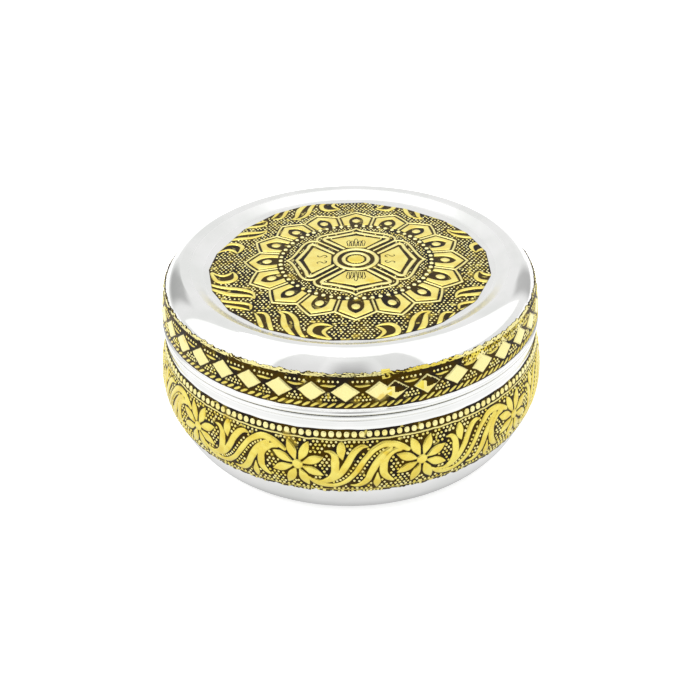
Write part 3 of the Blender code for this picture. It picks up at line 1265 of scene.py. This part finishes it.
@dataclass
class SkirtBand(Band):
    """The lid's side foil: a row of flat diamonds over a rope of slanted leaves.

    Attributes:
        degree: Millimetres along it for each degree of azimuth.
        lift: As for every band, but here the strip's start lies over its end.
        step: Degrees from diamond to diamond.
        first: Azimuth of one diamond.
        middle: Height of the diamonds' middles.
        rope: Height of the rope.
        half: Half the diamonds' width and height.
        dented: Azimuths of the two diamonds that are crushed.
        torn: Heights between which the crumpled upper edge begins.
    """

    degree: float = 1.539
    lift: tuple[float, float, float] = (0.24, 7.0, 0.6)
    step: float = 9.122
    first: float = -69.2
    middle: float = 71.15
    rope: float = 65.2
    half: tuple[float, float] = (5.95, 4.3)
    dented: tuple[float, float] = (-78.3, -69.2)
    torn: tuple[float, float] = (77.5, 78.0)

    @property
    def pitch(self) -> float:
        """Millimetres from diamond to diamond."""
        return self.step * self.degree

    def cell(self, azimuth: Array) -> Array:
        """Millimetres along the band from the nearest diamond's middle."""
        share = (azimuth - self.first) / self.step
        return (share - np.round(share)) * self.pitch

    def edges(self, azimuth: Array) -> tuple[Array, Array]:
        """A trimmed lower edge and a torn upper one."""
        arc = azimuth * self.degree
        high = self.high - 0.45 + 0.3 * wander(arc, 0 * arc, 5.0, 31) + 0.22 * wander(arc, 0 * arc, 1.5, 32)
        low = self.low + 0.2 + 0.12 * wander(arc, 0 * arc, 9.0, 33)
        return np.clip(low, self.low, None), np.clip(high, None, self.high)

    def diamond(self, u: Array, height: Array) -> Array:
        """Depth into a diamond: one less both shares of its half-sizes, times its inner radius."""
        wide, tall = self.half
        share = 1.0 - np.abs(u) / wide - np.abs(height - self.middle) / tall
        return share * wide * tall / math.hypot(wide, tall)

    def motifs(self, u: Array, height: Array) -> tuple[Array, Array]:
        """Depths into the diamonds, and into the rope's leaves and the bars between diamonds."""
        diamond = np.maximum(self.diamond(u, height), FAR)
        small = np.full(u.shape, FAR)
        for number in range(-3, 4):
            x = self.pitch / 4 * (number + 0.35)
            leaf = smooth_path([(x - 1.7, self.rope - 0.95, 0.12), (x - 0.8, self.rope - 0.55, 0.46),
                                (x + 0.8, self.rope + 0.45, 0.5), (x + 1.8, self.rope + 0.95, 0.12)])
            small = np.maximum(small, stroke_field(u, height, leaf))
        for x in (-self.pitch / 2, self.pitch / 2):
            bar = smooth_path([(x - 3.1, 74.0, 0.1), (x - 1.6, 73.8, 0.42), (x, 73.7, 0.5),
                               (x + 1.6, 73.8, 0.42), (x + 3.1, 74.0, 0.1)])
            small = np.maximum(small, stroke_field(u, height, bar))
        return diamond, small

    def relief(self, azimuth: Array, height: Array) -> Relief:
        """Diamonds, rope and bars, with a torn and crumpled upper edge that is painted pale as a highlight.
        """
        arc = azimuth * self.degree + 0 * height
        u = self.cell(azimuth) + 0.1 * wander(arc, height, 7.0, 34)
        z = height + 0.1 * wander(arc, height, 6.0, 35)
        diamond, small = self.motifs(u, z)
        relief = flat_relief(u.shape)
        relief.rise += 0.03 * wander(arc, height, 1.8, 36)
        relief.raise_by(small, 0.34, pale=0.35)
        relief.raise_by(diamond, 0.42, 0.0, 0.45, 0.75)
        self.dent(relief, azimuth, u, z)
        crumple = ramp(height, *self.torn)
        creases = np.abs(wander(arc * 0.5, height * 1.3, 2.0, 37))
        relief.rise = relief.rise * (1 - crumple) + crumple * (0.12 + 0.32 * creases)
        torn = crumple * (0.62 - 1.1 * creases)
        relief.gold = np.where(crumple > 0.02, torn + relief.gold * (1 - crumple), relief.gold)
        # Painted highlight: the crumpled upper edge, which tips up towards the light overhead, is painted
        # pale, with less of it at the front between azimuths -116 and -56.
        dim = ramp(azimuth, -116.0, -108.0) * ramp(azimuth, -56.0, -62.0)
        relief.pale = relief.pale + (0.75 - 0.5 * dim) * crumple
        washed = ramp(azimuth, -63.0, -56.0) * ramp(azimuth, -18.0, -30.0) * ramp(height, 72.6, 74.6)
        flecks = 0.5 - 1.5 * np.abs(wander(arc * 0.7, height * 1.2, 1.7, 38)) + FAR * (1.0 - washed)
        relief.gold = np.maximum(relief.gold, flecks)
        return relief

    def dent(self, relief: Relief, azimuth: Array, u: Array, height: Array) -> None:
        """Crushes the diamonds next to the seam: a thin rim stays, and the middle falls in facets."""
        for middle in self.dented:
            here = np.abs(azimuth - middle) < self.step / 2
            sunk = here & (self.diamond(u, height) > 0.45)
            x, y = u / self.half[0], (height - self.middle) / self.half[1]
            facets = np.maximum(np.abs(x + 0.25) * 0.5, np.abs(y - 0.4 * x)) * 0.5
            relief.rise = np.where(sunk, 0.05 + facets, relief.rise)
            lower = np.where(y < -0.32 + 0.2 * x, 0.3, -0.6)
            bright = np.where((x < -0.05) & (y < 0.25 - 0.5 * x), 0.6, lower)
            relief.gold = np.where(sunk, bright, relief.gold)
            relief.pale = np.where(sunk, np.where(x > -0.3, 0.55, 0.0), relief.pale)

    def tab(self, brass: bpy.types.Material) -> None:
        """The folded corner that stands up where the strip's end is tucked over its top edge."""
        share, along = np.linspace(0.0, 1.0, 25)[:, None], np.linspace(-1.0, 1.0, 31)[None, :]
        height = 79.95 - 3.3 * share + 0.0 * along
        azimuth = self.seam - 0.15 + 1.2 * along * (1 - 0.12 * share)
        hollow = ramp(np.hypot((along - 0.25) / 0.5, (share - 0.68) / 0.24), 1.25, 0.8)
        rise = 0.42 + 0.22 * np.sin(share * 9.0 + along) * (1 - hollow) - 0.36 * hollow
        base = self.wall.radius(height)
        top = around(base + 0.1 + rise, azimuth, height)
        under = around(base[::-1] + 0.06, azimuth[::-1], height[::-1])
        gold = 0.7 - 1.6 * hollow
        pale = np.vstack([0.3 + 0 * gold, 0.1 + 0 * gold])
        traits = {"gold": np.vstack([gold, gold[::-1]]), "pale": pale}
        solid = Lattice(np.concatenate([top, under]), wrap_rows=True, traits=traits)
        self.dress(solid.build("skirt_tab", 60.0), brass)

    def add_dots(self, brass: bpy.types.Material) -> None:
        """Raises the dots under, between and over the diamonds."""
        side = self.pitch / 2
        random = np.random.default_rng(41)
        u, z = honeycomb(1.56, 1.3, (-side, side), (67.5, 72.6), 0.12, random)
        diamond, small = self.motifs(u, z)
        keep = (diamond < -0.85) & (small < -0.7)
        over = side + np.arange(-2, 3) * 1.95
        over = np.where(over > side, over - self.pitch, over)
        rows = np.vstack([columns_of(u[keep], z[keep], 0.56), columns_of(over, 75.8, 0.58)])
        cells = np.arange(math.floor(360.0 / self.step) + 2)
        begin = self.first + math.ceil((self.seam - self.first) / self.step) * self.step
        turn = (begin + (cells[:, None] - 1) * self.step + rows[None, :, 0] / self.degree).ravel()
        rows = np.tile(rows, (len(cells), 1))
        keep = (turn > self.seam + 1.2) & (turn < self.seam + 359.6)
        turn, rows = turn[keep], rows[keep]
        turn = turn + random.normal(0.0, 0.06, len(turn))
        size = columns_of(rows[:, 2], rows[:, 2], 0.4)
        pale = random.uniform(0.35, 1.0, len(turn))
        self.dots("skirt_pips", DomeShape(), turn, rows[:, 1], size, pale, brass)


@dataclass
class TopFoil(Foil):
    """The disc in the lid's sunken panel, cut by hand from a larger embossed sheet.

    Attributes:
        base: Height of the disc's ground at its rim.
        bottom_height: Height of its flat underside.
        crown: Height by which its middle is domed.
        reach: Radius where the dome dies out.
        middle: The mandala's middle, which is off the disc's.
        turn: Degrees that the mandala is turned.
        centre: The disc's middle.
        radius: The disc's radius where it was cut round.
        snips: Straight cuts of its edge: azimuth and distance from its middle.
        beads: Radius of the ring of beads, and their count.
        petal: Radius of the petals' tips, radius of their shoulders.
        petals: Count of the petals.
        motif_turn: Degrees that the outer ring's motifs are turned further than the petals.
        comma: Strokes of the comma, one of eight about the middle: (across, out, half-width).
        leaves: Strokes of the outlined leaves beside it.
        bare: Strokes that fill their insides, where there are no dots.
        fans: Corners of a fan panel: (across, out) on its right-hand side.
        sprig: Strokes of the small sprig on the upper and lower panels, folded about its stem.
        curl: The small curl etched twice on each side panel.
    """

    base: float = 82.78
    bottom_height: float = 82.63
    crown: float = 1.6
    reach: float = 56.0
    middle: tuple[float, float] = (3.1, 0.8)
    turn: float = -0.9
    centre: tuple[float, float] = (-0.5, -0.4)
    radius: float = 65.8
    snips: tuple = (
        (0.0, 64.9), (20.0, 64.2), (36.0, 63.6), (52.0, 62.9), (69.0, 63.6), (92.0, 64.6), (121.0, 64.7),
        (139.0, 62.7), (156.0, 61.6), (172.0, 63.2), (190.0, 64.0), (207.0, 64.6), (226.0, 65.0),
        (246.0, 65.2), (270.0, 65.3), (293.0, 65.2), (317.0, 64.9), (338.0, 64.9))
    beads: tuple[float, int] = (35.0, 60)
    petal: tuple[float, float] = (51.7, 46.2)
    petals: int = 16
    motif_turn: float = 0.7
    fans: tuple = ((4.6, 11.4), (12.5, 20.2), (0.0, 24.4))
    sprig: tuple = (
        ((0.0, 13.0, 0.2), (0.0, 15.4, 0.26), (0.0, 18.4, 0.5), (0.0, 20.0, 0.12)),
        ((1.7, 13.0, 0.16), (1.7, 15.0, 0.2), (1.8, 16.8, 0.3), (1.9, 17.8, 0.1)),
        ((3.4, 13.2, 0.18), (3.5, 15.0, 0.24), (3.6, 16.8, 0.48), (3.4, 18.3, 0.12)))
    curl: tuple = (
        (1.5, 14.6, 0.24), (2.3, 13.6, 0.28), (3.4, 14.0, 0.28), (3.7, 15.1, 0.28), (2.8, 15.9, 0.26),
        (2.3, 16.9, 0.26), (3.0, 17.9, 0.28), (4.1, 17.6, 0.22))
    comma: tuple = (
        ((9.0, 56.3, 0.2), (11.6, 55.0, 0.7), (15.1, 54.5, 1.05), (17.7, 56.3, 1.15), (18.6, 59.9, 1.15),
         (17.2, 62.8, 1.0), (13.8, 64.7, 0.9), (10.3, 66.1, 0.6)),
        ((9.3, 56.6, 0.3), (11.5, 58.2, 0.8), (12.7, 60.7, 0.85), (11.3, 63.7, 0.55), (9.5, 65.9, 0.5)))
    leaves: tuple = (
        ((32.9, 44.3, 0.3), (30.8, 46.7, 0.75), (30.2, 50.7, 1.15), (29.6, 54.7, 1.35), (28.0, 58.6, 1.2),
         (25.4, 63.1, 0.8), (23.0, 67.0, 0.6)),
        ((31.9, 44.2, 0.4), (28.4, 45.4, 0.7), (26.0, 48.6, 1.0), (24.6, 52.5, 1.1), (24.0, 56.5, 1.1),
         (22.7, 61.0, 0.9), (21.3, 63.9, 0.8), (19.5, 67.5, 0.6)),
        ((42.9, 45.5, 0.3), (41.3, 49.0, 0.75), (40.1, 53.0, 0.9), (39.1, 56.4, 0.9)),
        ((41.9, 45.0, 0.4), (38.9, 45.4, 0.7), (37.3, 47.9, 0.85), (36.4, 51.9, 0.95), (35.3, 56.8, 0.95),
         (34.5, 59.8, 0.8)))
    bare: tuple = (
        ((9.2, 56.4, 0.5), (11.6, 56.6, 1.2), (13.8, 57.4, 1.6), (15.0, 60.0, 1.8), (14.0, 62.5, 1.8),
         (11.5, 64.8, 1.2)),
        ((32.4, 44.3, 0.4), (29.6, 46.1, 1.2), (28.1, 49.6, 1.9), (27.1, 53.6, 2.2), (26.0, 57.5, 2.0),
         (24.0, 62.0, 1.4), (21.2, 67.0, 1.4)),
        ((42.4, 45.2, 0.4), (40.1, 47.0, 1.2), (38.7, 50.4, 1.6), (37.7, 54.1, 1.7), (36.8, 57.0, 1.7)))

    def height(self, radius: Array) -> Array:
        """The ground's height: base plus the crown's share left, one less the radius share squared."""
        return self.base + self.crown * np.clip(1.0 - (radius / self.reach) ** 2, 0.0, 1.0)

    def own(self, radius: Array, azimuth: Array) -> tuple[Array, Array]:
        """Mandala coordinates of places given by radius and azimuth about its middle."""
        turn = np.radians(azimuth - self.turn)
        return radius * np.cos(turn), radius * np.sin(turn)

    def polar(self, x: Array, y: Array) -> tuple[Array, Array]:
        """Radius and azimuth about the mandala's middle of mandala coordinates."""
        return np.hypot(x, y), np.degrees(np.arctan2(y, x)) + self.turn

    def fan_relief(self, relief: Relief, x: Array, y: Array) -> None:
        """Raises the four fan panels and their outlines.

        Places are folded into one panel: out is the greater of the two coordinates' sizes
        and across is the lesser.
        """
        out, across = np.maximum(np.abs(x), np.abs(y)), np.minimum(np.abs(x), np.abs(y))
        panel = polygon_field(across, out, [(-4.6, 11.4), *self.fans, (-12.5, 20.2)]) - 0.15
        relief.raise_by(panel, 0.3, -0.1, 0.4, 0.4)
        inner = smooth_path([(5.3, 10.0, 0.6), (8.6, 13.3, 0.75), (12.0, 16.7, 0.8), (15.1, 19.9, 0.85),
                             (14.6, 21.9, 0.85), (10.9, 22.9, 0.8), (5.9, 24.9, 0.8), (2.0, 26.5, 0.85),
                             (0.0, 27.6, 0.6)], 4)
        outer = smooth_path([(7.6, 7.6, 0.4), (12.0, 12.0, 0.42), (17.0, 17.0, 0.5), (18.7, 19.6, 0.55),
                             (17.9, 22.9, 0.6), (14.6, 25.2, 0.6), (9.0, 27.2, 0.6), (4.0, 29.1, 0.6),
                             (1.2, 30.7, 0.58), (0.0, 32.2, 0.4)], 4)
        lines = np.maximum(stroke_field(across, out, inner), stroke_field(across, out, outer))
        relief.raise_by(lines, 0.42, -0.15, 0.4, 0.6)
        upright = np.abs(y) > np.abs(x)
        sprig = strokes_field(across, out, [smooth_path(p) for p in self.sprig])
        sprig = np.where(upright, sprig, FAR)
        curl = np.where(upright, FAR, stroke_field(across, out, smooth_path(self.curl)))
        relief.rise += 0.16 * ramp(sprig, -0.1, 0.25) - 0.1 * ramp(sprig, -0.7, -0.4)
        relief.rise -= 0.1 * ramp(curl, -0.2, 0.1)
        etched = ((sprig < 0.0) & (sprig > -0.55)) | (curl > -0.08)
        relief.gold = np.where(etched, np.minimum(relief.gold, -0.35), relief.gold)

    def medallion_relief(self, radius: Array, azimuth: Array) -> Relief:
        """Rosette, its rings and the fan panels, inside the ring of beads."""
        x, y = self.own(radius, azimuth)
        relief = flat_relief(radius.shape)
        relief.rise += 0.03 * wander(x, y, 2.0, 51)
        self.fan_relief(relief, x, y)
        inside = radius < 11.3
        relief.rise = np.where(inside, 0.0, relief.rise)
        relief.gold = np.where(inside, FAR, relief.gold)
        notch = 0.2 * np.cos(np.radians(azimuth) * 18) * ramp(radius, 2.0, 3.4)
        relief.raise_by(3.9 - radius + notch, 0.3, -0.1, 0.9, 0.2)
        relief.raise_by(0.85 - np.abs(radius - 5.75), 0.5, -0.15, 0.6, 0.6)
        relief.raise_by(0.95 - np.abs(radius - 9.65), 0.55, -0.15, 0.7, 0.6)
        return relief

    def sector(self, azimuth: Array) -> tuple[Array, Array]:
        """Number of the petal nearest to each azimuth, and the angle from its middle in radians."""
        share = (azimuth - self.turn) * self.petals / 360.0
        number = np.round(share)
        return number.astype(int), (share - number) * 2 * math.pi / self.petals

    def petal_relief(self, relief: Relief, radius: Array, azimuth: Array) -> None:
        """Raises the sixteen petals: shared outline, body and the drop with its oval dot."""
        number, local = self.sector(azimuth)
        across, out = np.abs(radius * np.sin(local)), radius * np.cos(local)
        tip, shoulder = self.petal
        side = math.pi / self.petals
        corner = (shoulder * math.sin(side), shoulder * math.cos(side))
        edge = smooth_path([(corner[0] * 0.8, corner[1] * 0.8, 0.42), (*corner, 0.5)], 2)
        brow = smooth_path([(*corner, 0.5), (corner[0] * 0.52, (corner[1] + tip) / 2 + 0.25, 0.5),
                            (0.0, tip, 0.5)], 4)
        frame_line = np.maximum(stroke_field(across, out, edge), stroke_field(across, out, brow))
        inset = polygon_field(across, out, [(-9.0, 30.0), (corner[0] * 0.65, 30.0), corner, (0.0, tip),
                                            (-corner[0], corner[1])])
        inset = np.minimum(inset, (corner[0] - across * corner[1] / np.maximum(out, 1.0)) * 0.98)
        jitter = np.random.default_rng(52).uniform(0.0, 1.0, self.petals)[number % self.petals]
        drop = smooth_path([(0.0, 37.2, 3.5), (0.0, 40.0, 3.8), (0.0, 42.4, 3.2), (0.0, 46.2, 0.3)], 5)
        hollow = stroke_field(across, out, drop) - 0.9 * jitter * ramp(out, 46.0, 36.0)
        body = np.minimum(inset - 1.4, -hollow)
        body = np.minimum(body, out - 36.4)
        relief.raise_by(body, 0.36, -0.1, 0.6, 0.4)
        relief.raise_by(frame_line, 0.42, -0.15, 0.4, 0.6)
        dot = (1.0 - np.hypot(across / 1.85, (out - 41.3) / 2.15)) * 1.8
        relief.raise_by(dot, 0.42, -0.1, 0.9, 0.55)

    def motifs(self, x: Array, y: Array, strokes: tuple) -> Array:
        """Depth into strokes of the outer ring, folded eight times about the middle.

        The ring of motifs is turned a little further than the petals.
        """
        cos, sin = math.cos(math.radians(self.motif_turn)), math.sin(math.radians(self.motif_turn))
        along, up = np.abs(x * cos - y * sin), np.abs(x * sin + y * cos)
        out, across = np.maximum(along, up), np.minimum(along, up)
        return strokes_field(across, out, [smooth_path(p) for p in strokes])

    def field_relief(self, radius: Array, azimuth: Array) -> Relief:
        """Petals and the outer ring of motifs."""
        x, y = self.own(radius, azimuth)
        relief = flat_relief(radius.shape)
        relief.rise += 0.03 * wander(x, y, 2.0, 53)
        self.petal_relief(relief, radius, azimuth)
        motifs = np.where(radius > 53.0, self.motifs(x, y, self.comma + self.leaves), FAR)
        relief.raise_by(motifs, 0.36, -0.12, 0.5, 0.35)
        relief.rise *= ramp(self.rim(azimuth) - radius, 0.0, 0.7)
        return relief

    def rim(self, azimuth: Array) -> Array:
        """Distance from the mandala's middle to the disc's edge.

        It is the nearest of a ray's meetings with a circle and with the straight snips,
        each of which faces an azimuth at a distance from the disc's middle.
        """
        turn = np.radians(azimuth)
        dx, dy = self.middle[0] - self.centre[0], self.middle[1] - self.centre[1]
        along = dx * np.cos(turn) + dy * np.sin(turn)
        cut = self.radius + 0.12 * wander(azimuth, 0 * azimuth, 30.0, 54)
        edge = -along + np.sqrt(cut**2 - dx**2 - dy**2 + along**2)
        for facing, distance in self.snips:
            face = math.radians(facing)
            reach = distance - dx * math.cos(face) - dy * math.sin(face)
            edge = np.minimum(edge, reach / np.maximum(np.cos(turn - face), 0.2))
        return edge

    def spot(self, radius: Array, azimuth: Array, rise: Array) -> Array:
        """Places on the disc from mandala radius, azimuth and rise over the ground."""
        return around(radius, azimuth, self.height(radius) + rise) + np.array([*self.middle, 0.0])

    def build(self, brass: bpy.types.Material) -> None:
        """Makes the medallion, and the field round it in halves."""
        split = self.beads[0]
        azimuth = np.arange(760)[None, :] * 360.0 / 760
        radius = np.linspace(0.3, split, 116)[:, None] + 0.0 * azimuth
        relief = self.medallion_relief(radius, azimuth)
        top = self.spot(radius, azimuth, relief.rise)
        floor = self.spot(radius[-1:], azimuth, relief.rise[-1:])
        floor[..., 2] = self.bottom_height
        edge = Relief(relief.rise[-1:], relief.gold[-1:], relief.pale[-1:])
        self.solid("lid_medallion", top, floor, relief, edge, brass, ["lid_top_panel"], True)
        for number, start in enumerate((-180.0, 0.0)):
            azimuth = start + np.linspace(0.0, 180.0, 801)[None, :]
            share = np.linspace(0.0, 1.0, 104)[:, None]
            radius = split + share * (self.rim(azimuth) - split)
            relief = self.field_relief(radius, azimuth)
            top = self.spot(radius, azimuth, relief.rise)
            under = self.spot(radius[[-1, 0]], azimuth, 0.0)
            under[..., 2] = self.bottom_height
            edge = flat_relief(under.shape[:2])
            self.solid(f"lid_field_{number + 1}", top, under, relief, edge, brass)
        self.add_dots(brass)

    def dots(self, name: str, shape: DomeShape, x: Array, y: Array, size: Array, pale: Array,
             brass: bpy.types.Material) -> None:
        """Raises dots at mandala coordinates."""
        radius, azimuth = self.polar(x, y)
        centres = self.spot(radius, azimuth, 0.0)
        out = np.tile([0.0, 0.0, 1.0], (len(x), 1))
        self.domes(name, shape, (centres, out, around(1.0, azimuth, 0.0)), size, pale, brass)

    def add_dots(self, brass: bpy.types.Material) -> None:
        """Raises the ring of beads and the fine dots of the ground."""
        ring, count = self.beads
        random = np.random.default_rng(61)
        turn = np.radians(np.arange(count) * 360.0 / count)
        size = np.array([1.04, 0.98, 0.55]) * random.uniform(0.92, 1.1, (count, 1))
        bead = DomeShape(12, ((1.0, -0.25), (0.95, 0.35), (0.72, 0.75), (0.38, 0.95)), 1.0)
        self.dots("lid_beads", bead, ring * np.cos(turn), ring * np.sin(turn), size,
                  random.uniform(0.75, 1.0, count), brass)
        inner = self.scatter(1.6, random)
        radius = np.hypot(*inner[:2])
        folded = np.abs(np.abs(inner[0]) - np.abs(inner[1]))
        fans = (radius < 28.0) & (folded > 20.0)
        inner = inner[:, (radius < ring - 1.7) & (radius > 24.0) & ~fans]
        outer = self.scatter(1.88, random)
        radius, azimuth = self.polar(*outer[:2])
        beyond = (radius > ring + 1.0) & ~self.inside_petals(radius, azimuth)
        outer = outer[:, beyond & (radius < self.rim(azimuth) - 0.6)]
        x, y, rad = np.hstack([inner * [[1.0], [1.0], [0.85]], outer])
        radius, azimuth = self.polar(x, y)
        within = radius < ring
        depth = np.empty(x.shape)
        depth[within] = self.medallion_relief(radius[within], azimuth[within]).gold
        depth[~within] = np.maximum(self.field_relief(radius[~within], azimuth[~within]).gold,
                                    self.motifs(x[~within], y[~within], self.bare))
        free = depth < -0.62
        x, y, rad = x[free], y[free], rad[free]
        size = columns_of(rad, rad, 0.26)
        self.dots("lid_pips", DomeShape(), x, y, size, random.uniform(0.4, 1.0, len(x)), brass)

    def scatter(self, pitch: float, random: np.random.Generator) -> Array:
        """A jittered honeycomb of dots over the whole disc.

        Args:
            pitch: Distance between neighbours.
            random: Source of the jitter and of the sizes.

        Returns:
            Three rows: mandala x, mandala y and radius.
        """
        whole = (-72.0, 72.0)
        x, y = honeycomb(pitch, pitch * 0.87, whole, whole, 0.28, random)
        return np.stack([x, y, random.uniform(0.44, 0.6, x.size)])

    def inside_petals(self, radius: Array, azimuth: Array) -> Array:
        """Whether a place lies within the petals' outline and outside the beads."""
        tip, shoulder = self.petal
        limit = tip + (shoulder - tip) * np.abs(self.sector(azimuth)[1]) * self.petals / math.pi
        return (radius > self.beads[0] - 1.5) & (radius < limit + 0.9)


# ---------------------------------------------------------------- studio


@dataclass
class Studio:
    """Pale floor, soft light, cards that only reflections see, and the camera.

    Attributes:
        floor_size: Side of the floor in metres.
        surround: Brightness of the white surround.
        camera_place: Where the camera is.
        pitch: Degrees that it looks down.
        yaw: Degrees that it is turned about the vertical.
        roll: Degrees that it is rolled.
        lens: Its focal length.
        card_glow: Material of the cards.
    """

    floor_size: float = 6.0
    surround: float = 1.0
    camera_place: tuple[float, float, float] = (0.0, -439.2, 322.3)
    pitch: float = 33.23
    yaw: float = -0.06
    roll: float = -1.07
    lens: float = 55.26
    card_glow: bpy.types.Material = field(init=False, repr=False)

    def glow(self) -> bpy.types.Material:
        """An emitting material whose grey is the mesh's "tone"."""
        board = Board("card")
        shader = board.node("ShaderNodeEmission", {}, {"Color": board.trait("tone"), "Strength": 1.0})
        board.node("ShaderNodeOutputMaterial", {}, {"Surface": shader})
        return board.material

    def floor(self) -> None:
        """A pale floor that glows, so that shadows on it are faint, and what reflections see of it.

        What reflections see of it is a card painted with a shadow round the box: dark next to its foot and
        lighter further out.
        """
        half = self.floor_size * 500.0
        corners = half * np.array([(-1, -1, 0), (1, -1, 0), (1, 1, 0), (-1, 1, 0)]) - (0, 0, 0.02)
        mesh = bpy.data.meshes.new("floor")
        mesh.from_pydata((corners * MM).tolist(), [], [(0, 1, 2, 3)])
        made = show("floor", mesh)
        board = Board("floor")
        made.data.materials.append(board.surface({
            "Base Color": (0.86, 0.86, 0.85, 1.0), "Roughness": 0.6, "Specular IOR Level": 0.1,
            "Emission Color": (1.0, 1.0, 1.0, 1.0), "Emission Strength": 0.5}))
        # Painted shadow: the card's grey is darkest next to the box and grows outwards to brighter than the
        # surround.
        reach = np.array([60.0, 75.0, 84.0, 92.0, 110.0, 150.0, 400.0, half])
        tone = np.interp(reach, [75.0, 84.0, 92.0, 110.0, 150.0], [0.42, 0.8, 0.98, 1.08, 1.25])
        rings = around(reach[:, None], np.arange(64)[None, :] * 360.0 / 64, 0.0)
        self.sheet("floor_shadow_card", rings, np.repeat(tone[:, None], 64, 1), True)

    def card(self, name: str, azimuth: tuple[float, float], elevation: tuple[float, float],
             tones: tuple[float, float], soft: float = 0.0, distance: float = 900.0) -> None:
        """A curved card seen only in reflections.

        Args:
            name: The card's name.
            azimuth: Azimuths of its two sides.
            elevation: Elevations of its lower and upper edge.
            tones: Its grey at the lower and upper edge.
            soft: Degrees over which its grey fades out to the surround's at the edges.
            distance: Its distance from the box.
        """
        turn, lift = np.meshgrid(np.linspace(*azimuth, 48), np.linspace(*elevation, 36))
        angle = np.radians(lift)
        points = around(distance * np.cos(angle), turn, 60.0 + distance * np.sin(angle))
        tone = np.interp(lift, elevation, tones)
        if soft:
            sides = ramp(turn - azimuth[0], 0.0, soft) * ramp(azimuth[1] - turn, 0.0, soft)
            ends = ramp(lift - elevation[0], 0.0, soft) * ramp(elevation[1] - lift, 0.0, soft)
            tone = self.surround + (tone - self.surround) * sides * ends
        self.sheet(name, points, tone, False)

    def sheet(self, name: str, points: Array, tone: Array, closed: bool) -> None:
        """Makes a glowing sheet that only reflections see.

        Args:
            name: The sheet's name.
            points: Its places, by row, column and axis.
            tone: Its grey at each.
            closed: Whether the last column joins the first.
        """
        faces = grid_faces(*tone.shape, False, closed)
        mesh = bpy.data.meshes.new(name)
        mesh.from_pydata((points.reshape(-1, 3) * MM).tolist(), [], faces.tolist())
        add_trait(mesh, "tone", tone)
        made = show(name, mesh)
        made.data.materials.append(self.card_glow)
        made.visible_camera = False
        made.visible_diffuse = False
        made.visible_shadow = False

    def lights(self) -> None:
        """An even white surround, and a large soft lamp over the box."""
        world = bpy.data.worlds.new("studio")
        world.use_nodes = True
        inputs = world.node_tree.nodes["Background"].inputs
        inputs["Color"].default_value = (1.0, 1.0, 1.0, 1.0)
        inputs["Strength"].default_value = self.surround
        bpy.context.scene.world = world
        lamp = bpy.data.lights.new("softbox", "AREA")
        lamp.shape = "RECTANGLE"
        lamp.size, lamp.size_y = 1.2, 0.9
        lamp.energy = 12.0
        made = show("softbox", lamp)
        made.location = (-0.35, -0.25, 1.1)
        made.rotation_euler = Vector((0.35, 0.25, -1.04)).to_track_quat("-Z", "Y").to_euler()

    def camera(self) -> None:
        """The camera: it looks along +Y, pitched down, with a slight roll."""
        data = bpy.data.cameras.new("camera")
        data.lens = self.lens
        data.sensor_width = 36.0
        data.clip_start, data.clip_end = 0.01, 50.0
        made = show("camera", data)
        turn = Matrix.Rotation(-math.radians(self.yaw), 4, "Z")
        turn = turn @ Matrix.Rotation(math.radians(90.0 - self.pitch), 4, "X")
        turn = turn @ Matrix.Rotation(math.radians(self.roll), 4, "Z")
        made.matrix_world = Matrix.Translation(Vector(self.camera_place) * MM) @ turn
        bpy.context.scene.camera = made

    def build(self) -> None:
        """Sets everything up."""
        self.card_glow = self.glow()
        self.camera()
        self.floor()
        self.lights()
        self.card("front_card", (-133.0, -50.0), (14.0, 62.0), (0.88, 0.96))
        self.card("camera_card", (-107.5, -72.5), (-10.0, 58.0), (0.12, 0.95), 14.0, 860.0)
        self.card("left_white_card", (-196.0, -133.0), (6.0, 62.0), (1.35, 1.35))
        self.card("right_white_card", (-50.0, 27.0), (14.0, 62.0), (1.35, 1.35))
        self.card("top_card", (-180.0, 180.0), (62.0, 89.5), (1.32, 1.32))
        self.card("right_back_card", (28.0, 54.0), (-18.0, 30.0), (0.5, 0.62), 9.0)
        self.card("left_back_card", (122.0, 154.0), (-6.0, 34.0), (0.46, 0.62), 10.0)
        bpy.context.scene.view_settings.view_transform = "Standard"


def main() -> None:
    """Builds the studio and every piece."""
    logging.basicConfig(level=logging.INFO, format="%(name)s: %(message)s")
    Studio().build()
    steel = SteelFinish("polished_steel").material()
    cup_steel = SteelFinish("cup_steel", roughness=0.13).material()
    brass = FoilFinish().material()
    Bowl().build(steel)
    Lid().build(SteelFinish("lid_steel", pressed=(67.5, 74.0)).material())
    CupSet().build(cup_steel)
    Spoon().build(cup_steel)
    body_band = BodyBand(Body.BOX, low=20.2, high=53.0, prefix="body_foil")
    body_band.build(brass, ["body_band"])
    body_band.add_dots(brass)
    skirt = SkirtBand(Body.LID, wall=SHELLS.lid_wall(), low=63.2, high=79.6, seam=-80.6, columns=1600,
                      rows=61, parts=2, prefix="skirt_foil")
    skirt.build(brass, ["lid_skirt_band"])
    skirt.add_dots(brass)
    skirt.tab(brass)
    TopFoil(Body.LID).build(TOP_FOIL.material())


if __name__ == "__main__":
    main()
